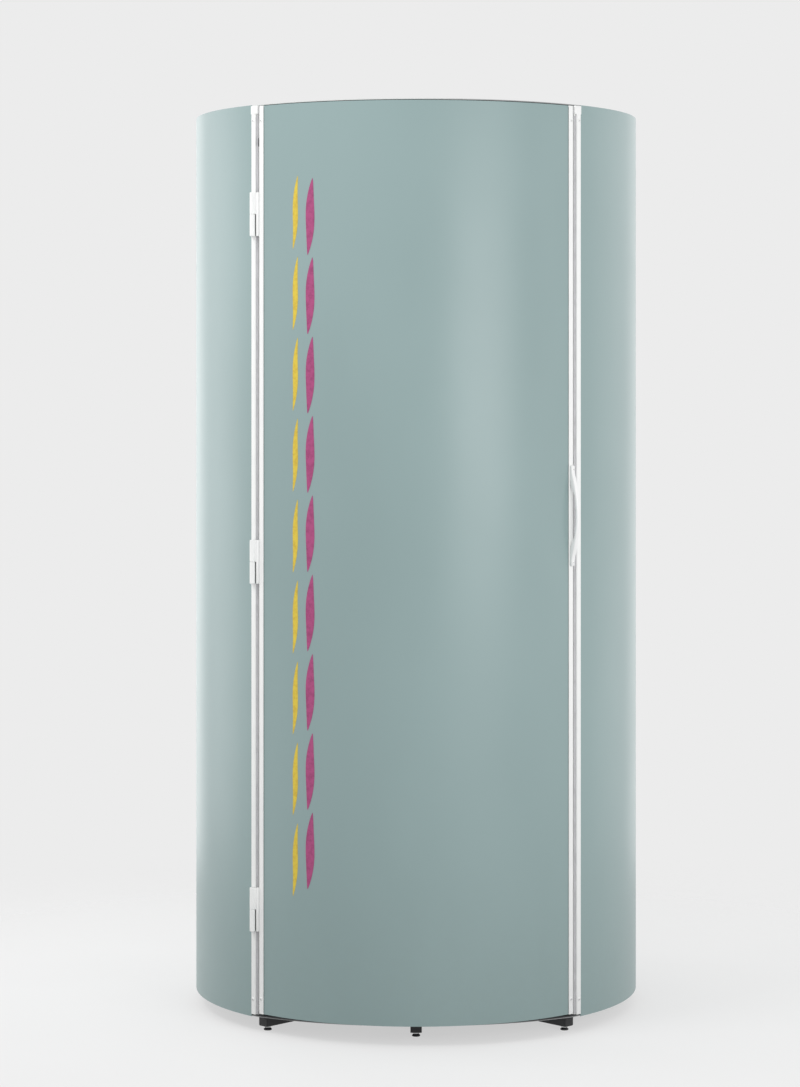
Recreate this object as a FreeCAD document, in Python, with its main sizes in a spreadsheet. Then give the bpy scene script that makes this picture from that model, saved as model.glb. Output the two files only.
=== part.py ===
"""Vertical tanning booth: a cylindrical cabin with a hinged door, lamps all round and levelling feet.

Frame: +Z up, origin on the cylinder's axis at floor level, the door faces -Y.
Angles called "turn" are measured from the door's middle (-Y) towards +X.
Profiles of posts, hinges and fittings are drawn in a local frame that sits on the skin's outer face:
x runs along the skin away from the door's middle, y runs inwards, z runs up.
"""
import FreeCAD, Part
import os
import re

import Sketcher

doc = FreeCAD.newDocument("tanning_booth")
Vector = FreeCAD.Vector
Z_AXIS = Vector(0, 0, 1)

# ---------------------------------------------------------------- driving dimensions (millimetres, degrees)
DIMENSIONS = {
    # cabin skin
    "body_radius": 510, "skin_thickness": 1.5, "skin_drop": 1,
    # doorway and door: the seam on each side lies at gap_angle from the door's middle
    "gap_angle": 43.05, "gap_width": 4, "door_clear": 4, "door_top_gap": 1.5, "seat_gap": 0.3,
    # white aluminium extrusion used for posts and stiles
    "post_width": 25, "post_depth": 84, "post_wall": 2.5, "recess_half": 5.8, "recess_depth": 4,
    "nose_width": 13.5, "nose_height": 2, "nose_round": 2.6, "rear_post_half": 14,
    # base
    "foot_height": 10, "arm_size": 25, "arm_wall": 2, "arm_setback": 26, "front_arm_setback": 52,
    "arm_angle": 44, "hub_radius": 90, "foot_inset": 12.5, "pad_radius": 9, "pad_top_radius": 6,
    "pad_height": 5, "stud_radius": 4, "stud_gap": 0.06, "boss_radius": 7, "boss_height": 7, "plug_depth": 4,
    "plug_flange": 3, "base_thickness": 5, "sill_radius": 685, "sill_setback": 44,
    "ring_height": 35, "ring_leg": 22, "ring_thickness": 2, "floor_inset": 8, "floor_gap": 1,
    "floor_thickness": 24, "mat_margin": 14, "mat_thickness": 2, "mat_rib": 1.2, "mat_rib_width": 8,
    "mat_rib_pitch": 20,
    # lamps, one length in door and body
    "lamp_rise": 110, "lamp_length": 1764, "lamp_radius": 19, "lamp_wall": 1, "lamp_cap": 8,
    "lamp_side_gap": 30, "body_lamp_count": 28, "side_lamp_count": 9,
    "door_lamp_count": 8, "holder_height": 25, "holder_width": 30, "holder_depth": 24,
    "carrier_thickness": 3, "carrier_overlap": 4, "skirt_thickness": 1.5,
    "reflector_setback": 30, "reflector_thickness": 1, "shield_thickness": 3, "shield_lap": 18,
    "rail_half": 8,
    # roof
    "plenum_height": 95, "roof_thickness": 2, "ceiling_thickness": 3, "pan_inset": 5, "pan_step": 21,
    "fan_spacing": 300, "fan_radius": 116, "shroud_gap": 4, "shroud_wall": 3, "shroud_height": 62,
    "motor_radius": 38, "motor_height": 26, "spider_height": 5, "impeller_hub": 32, "impeller_gap": 2,
    "shaft_radius": 4, "shaft_gap": 0.06, "blade_height": 24, "blade_skew": 17, "blade_thickness": 2.5,
    "blade_count": 7, "guard_thickness": 2.5, "guard_wire": 3, "guard_pitch": 22, "guard_bar": 6,
    "intake_slot": 14, "ballast_length": 140, "ballast_width": 40, "ballast_height": 50,
    "ballast_pitch": 48, "ballast_count": 9, "ballast_gap": 3,
    # hinges on the left seam
    "hinge_foot_inset": 228, "hinge_head_inset": 237.5, "hinge_half": 48, "hinge_radius": 6,
    "hinge_offset": 7.7, "hinge_stand": 8.5, "pin_radius": 3, "pin_gap": 0.05, "knuckle_gap": 0.3,
    "leaf_edge": 0.6, "leaf_rise": 5, "leaf_clear": 1.2, "hinge_foot": 7,
    # handles and small fittings
    "handle_height": 1137, "handle_length": 220, "handle_reach": 24, "handle_thick": 7, "handle_width": 10,
    "handle_foot": 17, "pull_length": 180, "pull_reach": 32, "pull_thick": 9, "pull_width": 14,
    "catch_inset": 50, "catch_half": 18, "catch_depth": 17, "striker_thickness": 2,
    "seal_width": 12, "seal_depth": 28, "screw_head": 3.4, "screw_rise": 1.8, "screw_inset": 33,
    "control_turn": 49, "control_height": 1290, "control_width": 70, "control_tall": 190,
    "control_depth": 26, "knob_radius": 18, "knob_depth": 16, "pointer_width": 3, "pointer_rise": 1.5,
    "spindle_radius": 3, "spindle_gap": 0.06, "spindle_length": 10, "button_radius": 9, "button_rise": 5,
    "button_depth": 8, "button_gap": 0.3, "button_hole": 13, "button_pitch": 45,
    "grab_height": 1150, "grab_half": 200, "grab_radius": 12.5, "grab_setback": 36, "grab_post": 20,
    # rear panel
    "louvre_width": 180, "louvre_height": 6, "louvre_pitch": 16, "louvre_count": 12,
    "louvre_foot_inset": 120, "louvre_head_inset": 300, "gland_turn": 158, "gland_climb": 70,
    "gland_bore": 6.5, "gland_radius": 10, "gland_flange": 15, "gland_length": 34, "gland_rise": 15,
    "gland_collar": 6,
}

sizes = doc.addObject("Spreadsheet::Sheet", "Sizes")
for row, (alias, size) in enumerate(DIMENSIONS.items(), start=1):
    sizes.set(f"A{row}", alias.replace("_", " "))
    sizes.set(f"B{row}", str(size))
    sizes.setAlias(f"B{row}", alias)
doc.recompute()

# ---------------------------------------------------------------- sizes worked out from them, as expressions
SKIN_IN = "(body_radius - skin_thickness)"
SHEET_SEAT = f"({SKIN_IN} - seat_gap)"
POST_FAR = "(gap_width / 2 + post_width)"
NOSE_FAR = "(recess_half + nose_width)"
NOSE_MIDDLE = "(recess_half + nose_width / 2)"
POST_IN = "(body_radius - post_depth)"
SHIELD_OUT = f"({POST_IN} - seat_gap)"
SHIELD_IN = f"({SHIELD_OUT} - shield_thickness)"
REFLECTOR_OUT = "(body_radius - reflector_setback)"
REFLECTOR_IN = f"({REFLECTOR_OUT} - reflector_thickness)"
LAMP_CIRCLE = f"(({SHIELD_OUT} + {REFLECTOR_IN}) / 2)"
FLOOR_RADIUS = f"({POST_IN} - floor_inset)"
CARRIER_IN = f"({FLOOR_RADIUS} + floor_gap)"
PAN_LIP = f"({POST_IN} - pan_inset)"
PAN_RADIUS = f"({PAN_LIP} - pan_step)"
RAIL_IN = f"({PAN_LIP} + seat_gap)"
SHROUD_IN = "(fan_radius + shroud_gap)"

PLATE_LOW = "(foot_height + arm_size)"
PLATE_TOP = f"({PLATE_LOW} + base_thickness)"
PANEL_LOW = f"({PLATE_LOW} - skin_drop)"
DOOR_LOW = f"({PLATE_TOP} + door_clear)"
FLOOR_TOP = f"({PLATE_TOP} + floor_thickness)"
LAMP_LOW = f"({PLATE_TOP} + lamp_rise)"
LAMP_HIGH = f"({LAMP_LOW} + lamp_length)"
LOW_CARRIER_TOP = f"({LAMP_LOW} - holder_height)"
HIGH_CARRIER_LOW = f"({LAMP_HIGH} + holder_height)"
CEILING_LOW = f"({HIGH_CARRIER_LOW} + carrier_thickness)"
CEILING_TOP = f"({CEILING_LOW} + ceiling_thickness)"
PANEL_HIGH = f"({CEILING_TOP} + plenum_height)"
ROOF_LOW = f"({PANEL_HIGH} - roof_thickness)"
DOOR_HIGH = f"({ROOF_LOW} - door_top_gap)"
SHROUD_LOW = f"({ROOF_LOW} - shroud_height)"


def under_skin(x):
    """Depth, in a local frame, that clears the skin's inner face out to this x."""
    return f"(body_radius - sqrt({SKIN_IN} * {SKIN_IN} - {x} * {x}) + seat_gap)"


def degrees_at(width, radius):
    """Angle, in degrees, that a half chord of this width takes at this radius."""
    return f"(asin(({width}) / ({radius})) / 1 deg)"


LAMP_STEP_IN = degrees_at(f"{POST_FAR} + lamp_side_gap", LAMP_CIRCLE)
FIRST_BODY_LAMP = f"(gap_angle + {LAMP_STEP_IN})"
BODY_LAMP_SPAN = f"(360 - 2 * {FIRST_BODY_LAMP})"
BODY_LAMP_PITCH = f"({BODY_LAMP_SPAN} / (body_lamp_count - 1))"
REAR_ANGLE = f"({FIRST_BODY_LAMP} + (side_lamp_count - 0.5) * {BODY_LAMP_PITCH})"
FIRST_DOOR_LAMP = f"(gap_angle - {LAMP_STEP_IN})"

WORDS = re.compile(r"\b(" + "|".join(sorted(DIMENSIONS, key=len, reverse=True)) + r")\b")


def bind(thing, target, expression):
    """Tie a property to an expression on the sheet's cells."""
    thing.setExpression(target, WORDS.sub(r"Sizes.\1", str(expression)))


def number(expression):
    """The expression's present value."""
    return float(sizes.evalExpression(str(expression)))


# ---------------------------------------------------------------- sketches
def base_plane(body, role):
    return next(item for item in body.Origin.OriginFeatures if item.Role == role)


def new_sketch(body, role, level="0", turn=None, shift=None):
    """Sketch on a plane of the body's origin, moved along its normal, turned, or shifted up its own y."""
    sketch = body.newObject("Sketcher::SketchObject", body.Name + "_sketch")
    sketch.AttachmentSupport = [(base_plane(body, role), "")]
    sketch.MapMode = "FlatFace"
    upright = Vector(0, 1, 0) if role == "XZ_Plane" else Z_AXIS
    sketch.AttachmentOffset = FreeCAD.Placement(Vector(0, 0, 0), FreeCAD.Rotation(upright, 1))
    bind(sketch, "AttachmentOffset.Rotation.Angle", turn or "0")
    bind(sketch, "AttachmentOffset.Base.z", level)
    if shift:
        bind(sketch, "AttachmentOffset.Base.y", shift)
    return sketch


def fix(sketch, kind, where, expression):
    """Dimension a sketch point or radius from the sheet."""
    index = sketch.addConstraint(Sketcher.Constraint(kind, *where, number(expression)))
    bind(sketch, f"Constraints[{index}]", expression)


def outline(sketch, corners):
    """Closed run of straight lines, each corner dimensioned from the sketch's origin."""
    first = len(sketch.Geometry)
    points = [Vector(number(x), number(y), 0) for x, y in corners]
    count = len(corners)
    for i, point in enumerate(points):
        sketch.addGeometry(Part.LineSegment(point, points[(i + 1) % count]), False)
    for i in range(count):
        sketch.addConstraint(Sketcher.Constraint("Coincident", first + i, 2, first + (i + 1) % count, 1))
    for i, (x, y) in enumerate(corners):
        fix(sketch, "DistanceX", (-1, 1, first + i, 1), x)
        fix(sketch, "DistanceY", (-1, 1, first + i, 1), y)


def rectangle(sketch, x_low, x_high, y_low, y_high):
    outline(sketch, [(x_low, y_low), (x_high, y_low), (x_high, y_high), (x_low, y_high)])


def circle(sketch, x, y, radius):
    centre = Vector(number(x), number(y), 0)
    index = sketch.addGeometry(Part.Circle(centre, Z_AXIS, number(radius)), False)
    fix(sketch, "DistanceX", (-1, 1, index, 3), x)
    fix(sketch, "DistanceY", (-1, 1, index, 3), y)
    fix(sketch, "Radius", (index,), radius)


# ---------------------------------------------------------------- bodies and features
def new_body(name, turn=None, radius="body_radius", height="0", facing="0"):
    """Body at the origin, or with its local frame on the cylinder at a turn from the door's middle."""
    body = doc.addObject("PartDesign::Body", name)
    body.Label = name
    if turn is not None:
        body.Placement = FreeCAD.Placement(Vector(0, 0, 0), FreeCAD.Rotation(Z_AXIS, 1))
        bind(body, "Placement.Base.x", f"({radius}) * sin({turn})")
        bind(body, "Placement.Base.y", f"-({radius}) * cos({turn})")
        bind(body, "Placement.Base.z", height)
        bind(body, "Placement.Rotation.Angle", f"{turn} + {facing}")
    return body


def pad(body, sketch, length, both_ways=False):
    feature = body.newObject("PartDesign::Pad", body.Name + "_pad")
    feature.Profile = sketch
    feature.Midplane = both_ways
    bind(feature, "Length", length)
    return feature


def bore(body, sketch):
    """Cut a sketch right through the body, both ways."""
    feature = body.newObject("PartDesign::Pocket", body.Name + "_pocket")
    feature.Profile = sketch
    feature.Type = "ThroughAll"
    feature.Midplane = True
    return feature


def slab(body, low, high, draw, *where, turn=None):
    """Pad between two heights, of what draw() puts into a level sketch."""
    sketch = new_sketch(body, "XY_Plane", low, turn)
    draw(sketch, *where)
    return pad(body, sketch, f"({high}) - ({low})")


def stub(body, depth, rise, draw, *where):
    """Pad outwards from a given depth below the skin's face, of an upright sketch in local x and z."""
    sketch = new_sketch(body, "XZ_Plane", f"-({depth})")
    draw(sketch, *where)
    return pad(body, sketch, rise)


def sink(body, depth, length, draw, *where):
    """Blind hole cut outwards from a given depth below the skin's face."""
    sketch = new_sketch(body, "XZ_Plane", f"-({depth})")
    draw(sketch, *where)
    feature = body.newObject("PartDesign::Pocket", body.Name + "_hole")
    feature.Profile = sketch
    feature.Reversed = True
    bind(feature, "Length", length)
    return feature


def hollow(body, low, high, draw, *where, turn=None):
    """Cut between two heights of what draw() puts into a level sketch."""
    sketch = new_sketch(body, "XY_Plane", low, turn)
    draw(sketch, *where)
    feature = body.newObject("PartDesign::Pocket", body.Name + "_hollow")
    feature.Profile = sketch
    feature.Reversed = True
    bind(feature, "Length", f"({high}) - ({low})")
    return feature


def roll(body, profile, start, end):
    """Section in radius and height, rolled round the body's upright axis between two turns."""
    sketch = new_sketch(body, "XZ_Plane", turn=f"(({start}) + ({end})) / 2 - 90")
    outline(sketch, profile)
    feature = body.newObject("PartDesign::Revolution", body.Name + "_roll")
    feature.Profile = sketch
    feature.ReferenceAxis = (sketch, ["V_Axis"])
    feature.Midplane = True
    bind(feature, "Angle", f"({end}) - ({start})")


def rolled(name, profile, *spans):
    """Body with one rolled section over each span of turns."""
    body = new_body(name)
    for start, end in spans:
        roll(body, profile, start, end)
    return body


def sheet(inner, outer, low, high):
    return [(inner, low), (outer, low), (outer, high), (inner, high)]


def around(body, features, count, extent):
    """Repeat features round the body's upright axis, the last one at the extent."""
    feature = body.newObject("PartDesign::PolarPattern", body.Name + "_pattern")
    feature.Originals = features
    feature.Axis = (base_plane(body, "Z_Axis"), [""])
    bind(feature, "Angle", extent)
    bind(feature, "Occurrences", count)
    body.Tip = feature


def along(body, features, axis, count, extent):
    """Repeat features along an axis of the body, the last one at the extent."""
    feature = body.newObject("PartDesign::LinearPattern", body.Name + "_pattern")
    feature.Originals = features
    feature.Direction = (base_plane(body, axis), [""])
    bind(feature, "Length", extent)
    bind(feature, "Occurrences", count)
    body.Tip = feature


def round_edges(body, corners, radius):
    """Fillet the body's upright edges that stand at these places of its own frame."""
    doc.recompute()
    base = body.Tip
    wanted = [(number(x), number(y)) for x, y in corners]
    names = []
    for index, edge in enumerate(base.Shape.Edges, start=1):
        start, end = edge.Vertexes[0].Point, edge.Vertexes[-1].Point
        upright = abs(start.x - end.x) < 1e-6 and abs(start.y - end.y) < 1e-6
        if upright and any(abs(start.x - x) < 1e-4 and abs(start.y - y) < 1e-4 for x, y in wanted):
            names.append(f"Edge{index}")
    feature = body.newObject("PartDesign::Fillet", body.Name + "_round")
    feature.Base = (base, names)
    bind(feature, "Radius", radius)
    return feature


def mirrored(name, source):
    """The same piece on the other side of the booth."""
    twin = doc.addObject("Part::Mirroring", name)
    twin.Label = name
    twin.Source = source
    twin.Normal = Vector(1, 0, 0)
    return twin


def group(name, *members):
    """Identical small pieces that share a name, each still a solid of its own."""
    compound = doc.addObject("Part::Compound", name)
    compound.Label = name
    compound.Links = list(members)
    return compound


# ---------------------------------------------------------------- posts and stiles
def extrusion(name, side, low, high):
    """Box section with a rounded nose that shows on the outside; side is 1 for a post, -1 for a door stile."""
    body = new_body(name, "gap_angle")
    nose = [(f"{side} * {NOSE_FAR}", "-nose_height"), (f"{side} * recess_half", "-nose_height")]
    shoulder = under_skin(POST_FAR)
    section = [(f"{side} * gap_width / 2", "post_depth"), (f"{side} * {POST_FAR}", "post_depth"),
               (f"{side} * {POST_FAR}", shoulder), (f"{side} * {NOSE_FAR}", shoulder), *nose,
               (f"{side} * recess_half", "recess_depth"), (f"{side} * gap_width / 2", "recess_depth")]
    slab(body, low, high, outline, section)
    round_edges(body, nose, "nose_round")
    inside = new_sketch(body, "XY_Plane")
    rectangle(inside, f"{side} * (gap_width / 2 + post_wall)", f"{side} * ({POST_FAR} - post_wall)",
              "recess_depth + post_wall", "post_depth - post_wall")
    bore(body, inside)
    return body


front_post_right = extrusion("front_post_right", 1, PLATE_TOP, ROOF_LOW)
front_post_left = mirrored("front_post_left", front_post_right)
door_stile_right = extrusion("door_stile_right", -1, DOOR_LOW, DOOR_HIGH)
door_stile_left = mirrored("door_stile_left", door_stile_right)


def rear_post():
    """Shallow post that covers the seam between side panel and rear panel."""
    body = new_body("rear_post_right", REAR_ANGLE)
    nose = [("nose_width / 2", "-nose_height"), ("-nose_width / 2", "-nose_height")]
    inner = "(reflector_setback - seat_gap)"
    shoulder = under_skin("rear_post_half")
    section = [("-rear_post_half", inner), ("rear_post_half", inner), ("rear_post_half", shoulder),
               ("nose_width / 2", shoulder), *nose, ("-nose_width / 2", shoulder),
               ("-rear_post_half", shoulder)]
    slab(body, PLATE_TOP, ROOF_LOW, outline, section)
    round_edges(body, nose, "nose_round")
    return body


rear_post_right = rear_post()
rear_posts = group("rear_posts", rear_post_right, mirrored("rear_post_left", rear_post_right))


def past_post(radius):
    """Turn at which a rolled piece of this inner radius clears the front post's far side."""
    return f"(gap_angle + {degrees_at(POST_FAR + ' + seat_gap', radius)})"


def before_stile(radius):
    """Turn at which a rolled piece of this inner radius stops against the door stile."""
    return f"(gap_angle - {degrees_at(POST_FAR + ' + seat_gap', radius)})"


def beside_rear_post(sign, half, radius):
    """Turn just before (-1) or past (1) something of this half width at the rear post."""
    return f"({REAR_ANGLE} + {sign} * {degrees_at(half + ' + seat_gap', radius)})"


# ---------------------------------------------------------------- outer skin
skin = sheet(SKIN_IN, "body_radius", PANEL_LOW, PANEL_HIGH)
skin_start = f"(gap_angle + {degrees_at(NOSE_FAR + ' + seat_gap', 'body_radius')})"
side_panel_right = rolled("side_panel_right", skin,
                          (skin_start, beside_rear_post(-1, "nose_width / 2", "body_radius")))
side_panel_left = mirrored("side_panel_left", side_panel_right)


LOUVRE_FIELDS = (f"({PLATE_TOP} + louvre_foot_inset)", f"({PANEL_HIGH} - louvre_head_inset)")
GLAND_HEIGHT = f"({PLATE_TOP} + gland_climb)"


def rear_panel():
    """Service panel behind, with two fields of louvre slots and the hole for the mains gland."""
    edge = beside_rear_post(1, "nose_width / 2", "body_radius")
    body = rolled("rear_panel", skin, (edge, f"360 - {edge}"))
    for low in LOUVRE_FIELDS:
        slot = new_sketch(body, "XZ_Plane")
        rectangle(slot, "-louvre_width / 2", "louvre_width / 2", low, f"{low} + louvre_height")
        cut = bore(body, slot)
        along(body, [cut], "Z_Axis", "louvre_count", "louvre_pitch * (louvre_count - 1)")
    hole = new_sketch(body, "XZ_Plane", turn="gland_turn")
    circle(hole, "0", GLAND_HEIGHT, "gland_radius + seat_gap")
    cut = body.newObject("PartDesign::Pocket", "gland_hole")
    cut.Profile = hole
    cut.Reversed = True
    bind(cut, "Length", "2 * body_radius")
    return body


rear_panel_body = rear_panel()
mains_gland = new_body("mains_gland", "gland_turn", height=GLAND_HEIGHT)
stub(mains_gland, "gland_length - gland_rise", "gland_length", circle, "0", "0", "gland_radius")
stub(mains_gland, "0", "gland_collar", circle, "0", "0", "gland_flange")
stub(mains_gland, f"{under_skin('gland_flange')} + gland_collar", "gland_collar", circle,
     "0", "0", "gland_flange")
cable_way = new_sketch(mains_gland, "XZ_Plane")
circle(cable_way, "0", "0", "gland_bore")
bore(mains_gland, cable_way)

# ---------------------------------------------------------------- base: arms, feet, plate, ring, floor
ARM_REACH = "(body_radius - arm_setback)"
FRONT_REACH = "(body_radius - sill_setback - front_arm_setback)"
ARMS = [("0", FRONT_REACH), ("arm_angle", ARM_REACH), ("180 - arm_angle", ARM_REACH),
        ("180", ARM_REACH), ("180 + arm_angle", ARM_REACH), ("360 - arm_angle", ARM_REACH)]


def base_frame():
    """Six hollow box arms welded to a hub, each with a threaded boss for its foot."""
    body = new_body("base_frame")
    inside = "(arm_size / 2 - arm_wall)"
    slab(body, "foot_height", PLATE_LOW, circle, "0", "0", "hub_radius")
    for turn, reach in ARMS:
        slab(body, "foot_height", PLATE_LOW, rectangle, "0", reach, "-arm_size / 2", "arm_size / 2",
             turn=f"{turn} - 90")
    for turn, reach in ARMS:
        hollow(body, "foot_height + arm_wall", f"{PLATE_LOW} - arm_wall", rectangle, "hub_radius",
               f"{reach} + plug_flange", f"-{inside}", inside, turn=f"{turn} - 90")
    for turn, reach in ARMS:
        spot = (f"{reach} - foot_inset", "0")
        slab(body, "foot_height + arm_wall / 2", "foot_height + arm_wall + boss_height", circle, *spot,
             "boss_radius", turn=f"{turn} - 90")
        hollow(body, "foot_height", "foot_height + arm_wall + boss_height", circle, *spot,
               "stud_radius + stud_gap", turn=f"{turn} - 90")
    return body


def arm_end_caps():
    """Square plastic plug in the open end of each arm."""
    body = new_body("arm_end_caps")
    inside = "(arm_size / 2 - arm_wall - seat_gap / 2)"
    for turn, reach in ARMS:
        slab(body, "foot_height + arm_wall + seat_gap / 2", f"{PLATE_LOW} - arm_wall - seat_gap / 2", rectangle,
             f"{reach} - plug_depth", f"{reach}", f"-{inside}", inside, turn=f"{turn} - 90")
        slab(body, "foot_height", PLATE_LOW, rectangle, reach, f"{reach} + plug_flange",
             "-arm_size / 2", "arm_size / 2", turn=f"{turn} - 90")
    return body


def levelling_foot(index, turn, reach):
    """Conical pad on a threaded stud."""
    body = new_body(f"levelling_foot_{index}", turn, f"{reach} - foot_inset")
    stud_top = f"({PLATE_LOW} - arm_wall - seat_gap)"
    roll(body, [("0", "0"), ("pad_radius", "0"), ("pad_radius", "pad_height / 2"),
                ("pad_top_radius", "pad_height"), ("stud_radius", "pad_height"), ("stud_radius", stud_top),
                ("0", stud_top)], "0", "360")
    return body


frame_body = base_frame()
end_caps = arm_end_caps()
feet = [levelling_foot(index, turn, reach) for index, (turn, reach) in enumerate(ARMS, start=1)]

base_plate = new_body("base_plate")
slab(base_plate, PLATE_LOW, PLATE_TOP, circle, "0", "0", f"{SKIN_IN} - seat_gap")
sill = new_sketch(base_plate, "XY_Plane")
rectangle(sill, "-2 * sill_radius", "2 * sill_radius", "-2 * sill_radius", "3 * sill_radius")
circle(sill, "0", "sill_radius + sill_setback - body_radius", "sill_radius")
bore(base_plate, sill)

RING_IN = f"({SHEET_SEAT} - ring_leg)"
RING_LEG_IN = f"({SHEET_SEAT} - ring_thickness)"


def ring_spans():
    """The two sides and the back, between front posts and rear posts."""
    start, stop = past_post(RING_IN), beside_rear_post(-1, "rear_post_half", RING_IN)
    again = beside_rear_post(1, "rear_post_half", RING_IN)
    return [(start, stop), (again, f"360 - {again}"), (f"360 - {stop}", f"360 - {start}")]


base_ring = rolled("base_ring", [
    (RING_IN, PLATE_TOP), (SHEET_SEAT, PLATE_TOP), (SHEET_SEAT, f"{PLATE_TOP} + ring_height"),
    (RING_LEG_IN, f"{PLATE_TOP} + ring_height"), (RING_LEG_IN, f"{PLATE_TOP} + ring_thickness"),
    (RING_IN, f"{PLATE_TOP} + ring_thickness")], *ring_spans())
roof_ring = rolled("roof_ring", [
    (RING_IN, ROOF_LOW), (RING_IN, f"{ROOF_LOW} - ring_thickness"),
    (RING_LEG_IN, f"{ROOF_LOW} - ring_thickness"),
    (RING_LEG_IN, f"{ROOF_LOW} - ring_height"), (SHEET_SEAT, f"{ROOF_LOW} - ring_height"),
    (SHEET_SEAT, ROOF_LOW)], *ring_spans())

floor_panel = new_body("floor_panel")
slab(floor_panel, PLATE_TOP, FLOOR_TOP, circle, "0", "0", FLOOR_RADIUS)


def floor_mat():
    """Round mat with raised rings."""
    body = new_body("floor_mat")
    radius = f"({FLOOR_RADIUS} - mat_margin)"
    slab(body, FLOOR_TOP, f"{FLOOR_TOP} + mat_thickness", circle, "0", "0", radius)
    ribs = new_sketch(body, "XY_Plane", f"{FLOOR_TOP} + mat_thickness")
    for index in range(1, int(number(f"({radius} - mat_rib_width) / mat_rib_pitch")) + 1):
        circle(ribs, "0", "0", f"{index} * mat_rib_pitch")
        circle(ribs, "0", "0", f"{index} * mat_rib_pitch + mat_rib_width")
    pad(body, ribs, "mat_rib")
    return body


mat = floor_mat()

# ---------------------------------------------------------------- lamps, holders, carriers, reflectors, shields


def ring(sketch, x, y, radius, wall):
    circle(sketch, x, y, radius)
    circle(sketch, x, y, f"{radius} - {wall}")


def lamp_set(name, first, count, span):
    """Upright fluorescent tubes on the lamp circle, each closed by a cap at both ends."""
    tubes = new_body(name + "_tubes")
    turn = f"{first} - 90"
    tube = slab(tubes, f"{LAMP_LOW} + lamp_cap", f"{LAMP_HIGH} - lamp_cap", ring, LAMP_CIRCLE, "0",
                "lamp_radius", "lamp_wall", turn=turn)
    around(tubes, [tube], count, span)
    caps = new_body(name + "_caps")
    ends = [slab(caps, low, f"{low} + lamp_cap", circle, LAMP_CIRCLE, "0", "lamp_radius", turn=turn)
            for low in (LAMP_LOW, f"({LAMP_HIGH} - lamp_cap)")]
    around(caps, ends, count, span)
    return group(name, tubes, caps)


def holder_set(name, first, count, span):
    """A lampholder under and over each lamp."""
    body = new_body(name)
    block = (f"{LAMP_CIRCLE} - holder_depth / 2", f"{LAMP_CIRCLE} + holder_depth / 2",
             "-holder_width / 2", "holder_width / 2")
    low = slab(body, LOW_CARRIER_TOP, LAMP_LOW, rectangle, *block, turn=f"{first} - 90")
    high = slab(body, LAMP_HIGH, HIGH_CARRIER_LOW, rectangle, *block, turn=f"{first} - 90")
    around(body, [low, high], count, span)
    return body


DOOR_LAMP_SPAN = f"(2 * {FIRST_DOOR_LAMP})"
body_lamps = lamp_set("body_lamps", FIRST_BODY_LAMP, "body_lamp_count", BODY_LAMP_SPAN)
body_lamp_holders = holder_set("body_lamp_holders", FIRST_BODY_LAMP, "body_lamp_count", BODY_LAMP_SPAN)
door_lamps = lamp_set("door_lamps", f"-{FIRST_DOOR_LAMP}", "door_lamp_count", DOOR_LAMP_SPAN)
door_lamp_holders = holder_set("door_lamp_holders", f"-{FIRST_DOOR_LAMP}", "door_lamp_count", DOOR_LAMP_SPAN)

CARRIER_SPAN = (past_post(CARRIER_IN), f"360 - {past_post(CARRIER_IN)}")
low_skirt = f"({CARRIER_IN} + skirt_thickness)"
lamp_carrier_low = rolled("lamp_carrier_low", [
    (CARRIER_IN, PLATE_TOP), (low_skirt, PLATE_TOP), (low_skirt, f"{LOW_CARRIER_TOP} - carrier_thickness"),
    (REFLECTOR_OUT, f"{LOW_CARRIER_TOP} - carrier_thickness"), (REFLECTOR_OUT, LOW_CARRIER_TOP),
    (CARRIER_IN, LOW_CARRIER_TOP)], CARRIER_SPAN)
high_carrier_in = f"({PAN_LIP} - carrier_overlap)"
lamp_carrier_high = rolled("lamp_carrier_high",
                           sheet(high_carrier_in, REFLECTOR_OUT, HIGH_CARRIER_LOW, CEILING_LOW),
                           (past_post(high_carrier_in), f"360 - {past_post(high_carrier_in)}"))
lamp_carriers = group("lamp_carriers", lamp_carrier_low, lamp_carrier_high)

reflector = sheet(REFLECTOR_IN, REFLECTOR_OUT, LOW_CARRIER_TOP, HIGH_CARRIER_LOW)
reflector_ends = (past_post(REFLECTOR_IN), f"({REAR_ANGLE} - {degrees_at('seat_gap', REFLECTOR_IN)})",
                  f"({REAR_ANGLE} + {degrees_at('seat_gap', REFLECTOR_IN)})")
body_reflectors = rolled("body_reflectors", reflector, reflector_ends[:2],
                         (reflector_ends[2], f"360 - {reflector_ends[2]}"),
                         (f"360 - {reflector_ends[1]}", f"360 - {reflector_ends[0]}"))
door_reflector = rolled("door_reflector", reflector,
                        (f"-{before_stile(REFLECTOR_IN)}", before_stile(REFLECTOR_IN)))

shield = sheet(SHIELD_IN, SHIELD_OUT, f"({LOW_CARRIER_TOP} + seat_gap)", f"({HIGH_CARRIER_LOW} - seat_gap)")
shield_lap_step = degrees_at(f"{POST_FAR} - shield_lap", SHIELD_IN)
rear_step = degrees_at("seat_gap", SHIELD_IN)
shield_right = rolled("shield_right", shield, (f"gap_angle + {shield_lap_step}", f"{REAR_ANGLE} - {rear_step}"))
shield_left = mirrored("shield_left", shield_right)
shield_rear = rolled("shield_rear", shield,
                     (f"{REAR_ANGLE} + {rear_step}", f"360 - {REAR_ANGLE} - {rear_step}"))
door_shield = rolled("door_shield", shield,
                     (f"{shield_lap_step} - gap_angle", f"gap_angle - {shield_lap_step}"))

rail_right = new_body("shield_rail_right", REAR_ANGLE)
slab(rail_right, LOW_CARRIER_TOP, HIGH_CARRIER_LOW, rectangle, "-rail_half", "rail_half",
     f"body_radius - {REFLECTOR_IN} + seat_gap", "post_depth")
shield_rails = group("shield_rails", rail_right, mirrored("shield_rail_left", rail_right))

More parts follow.
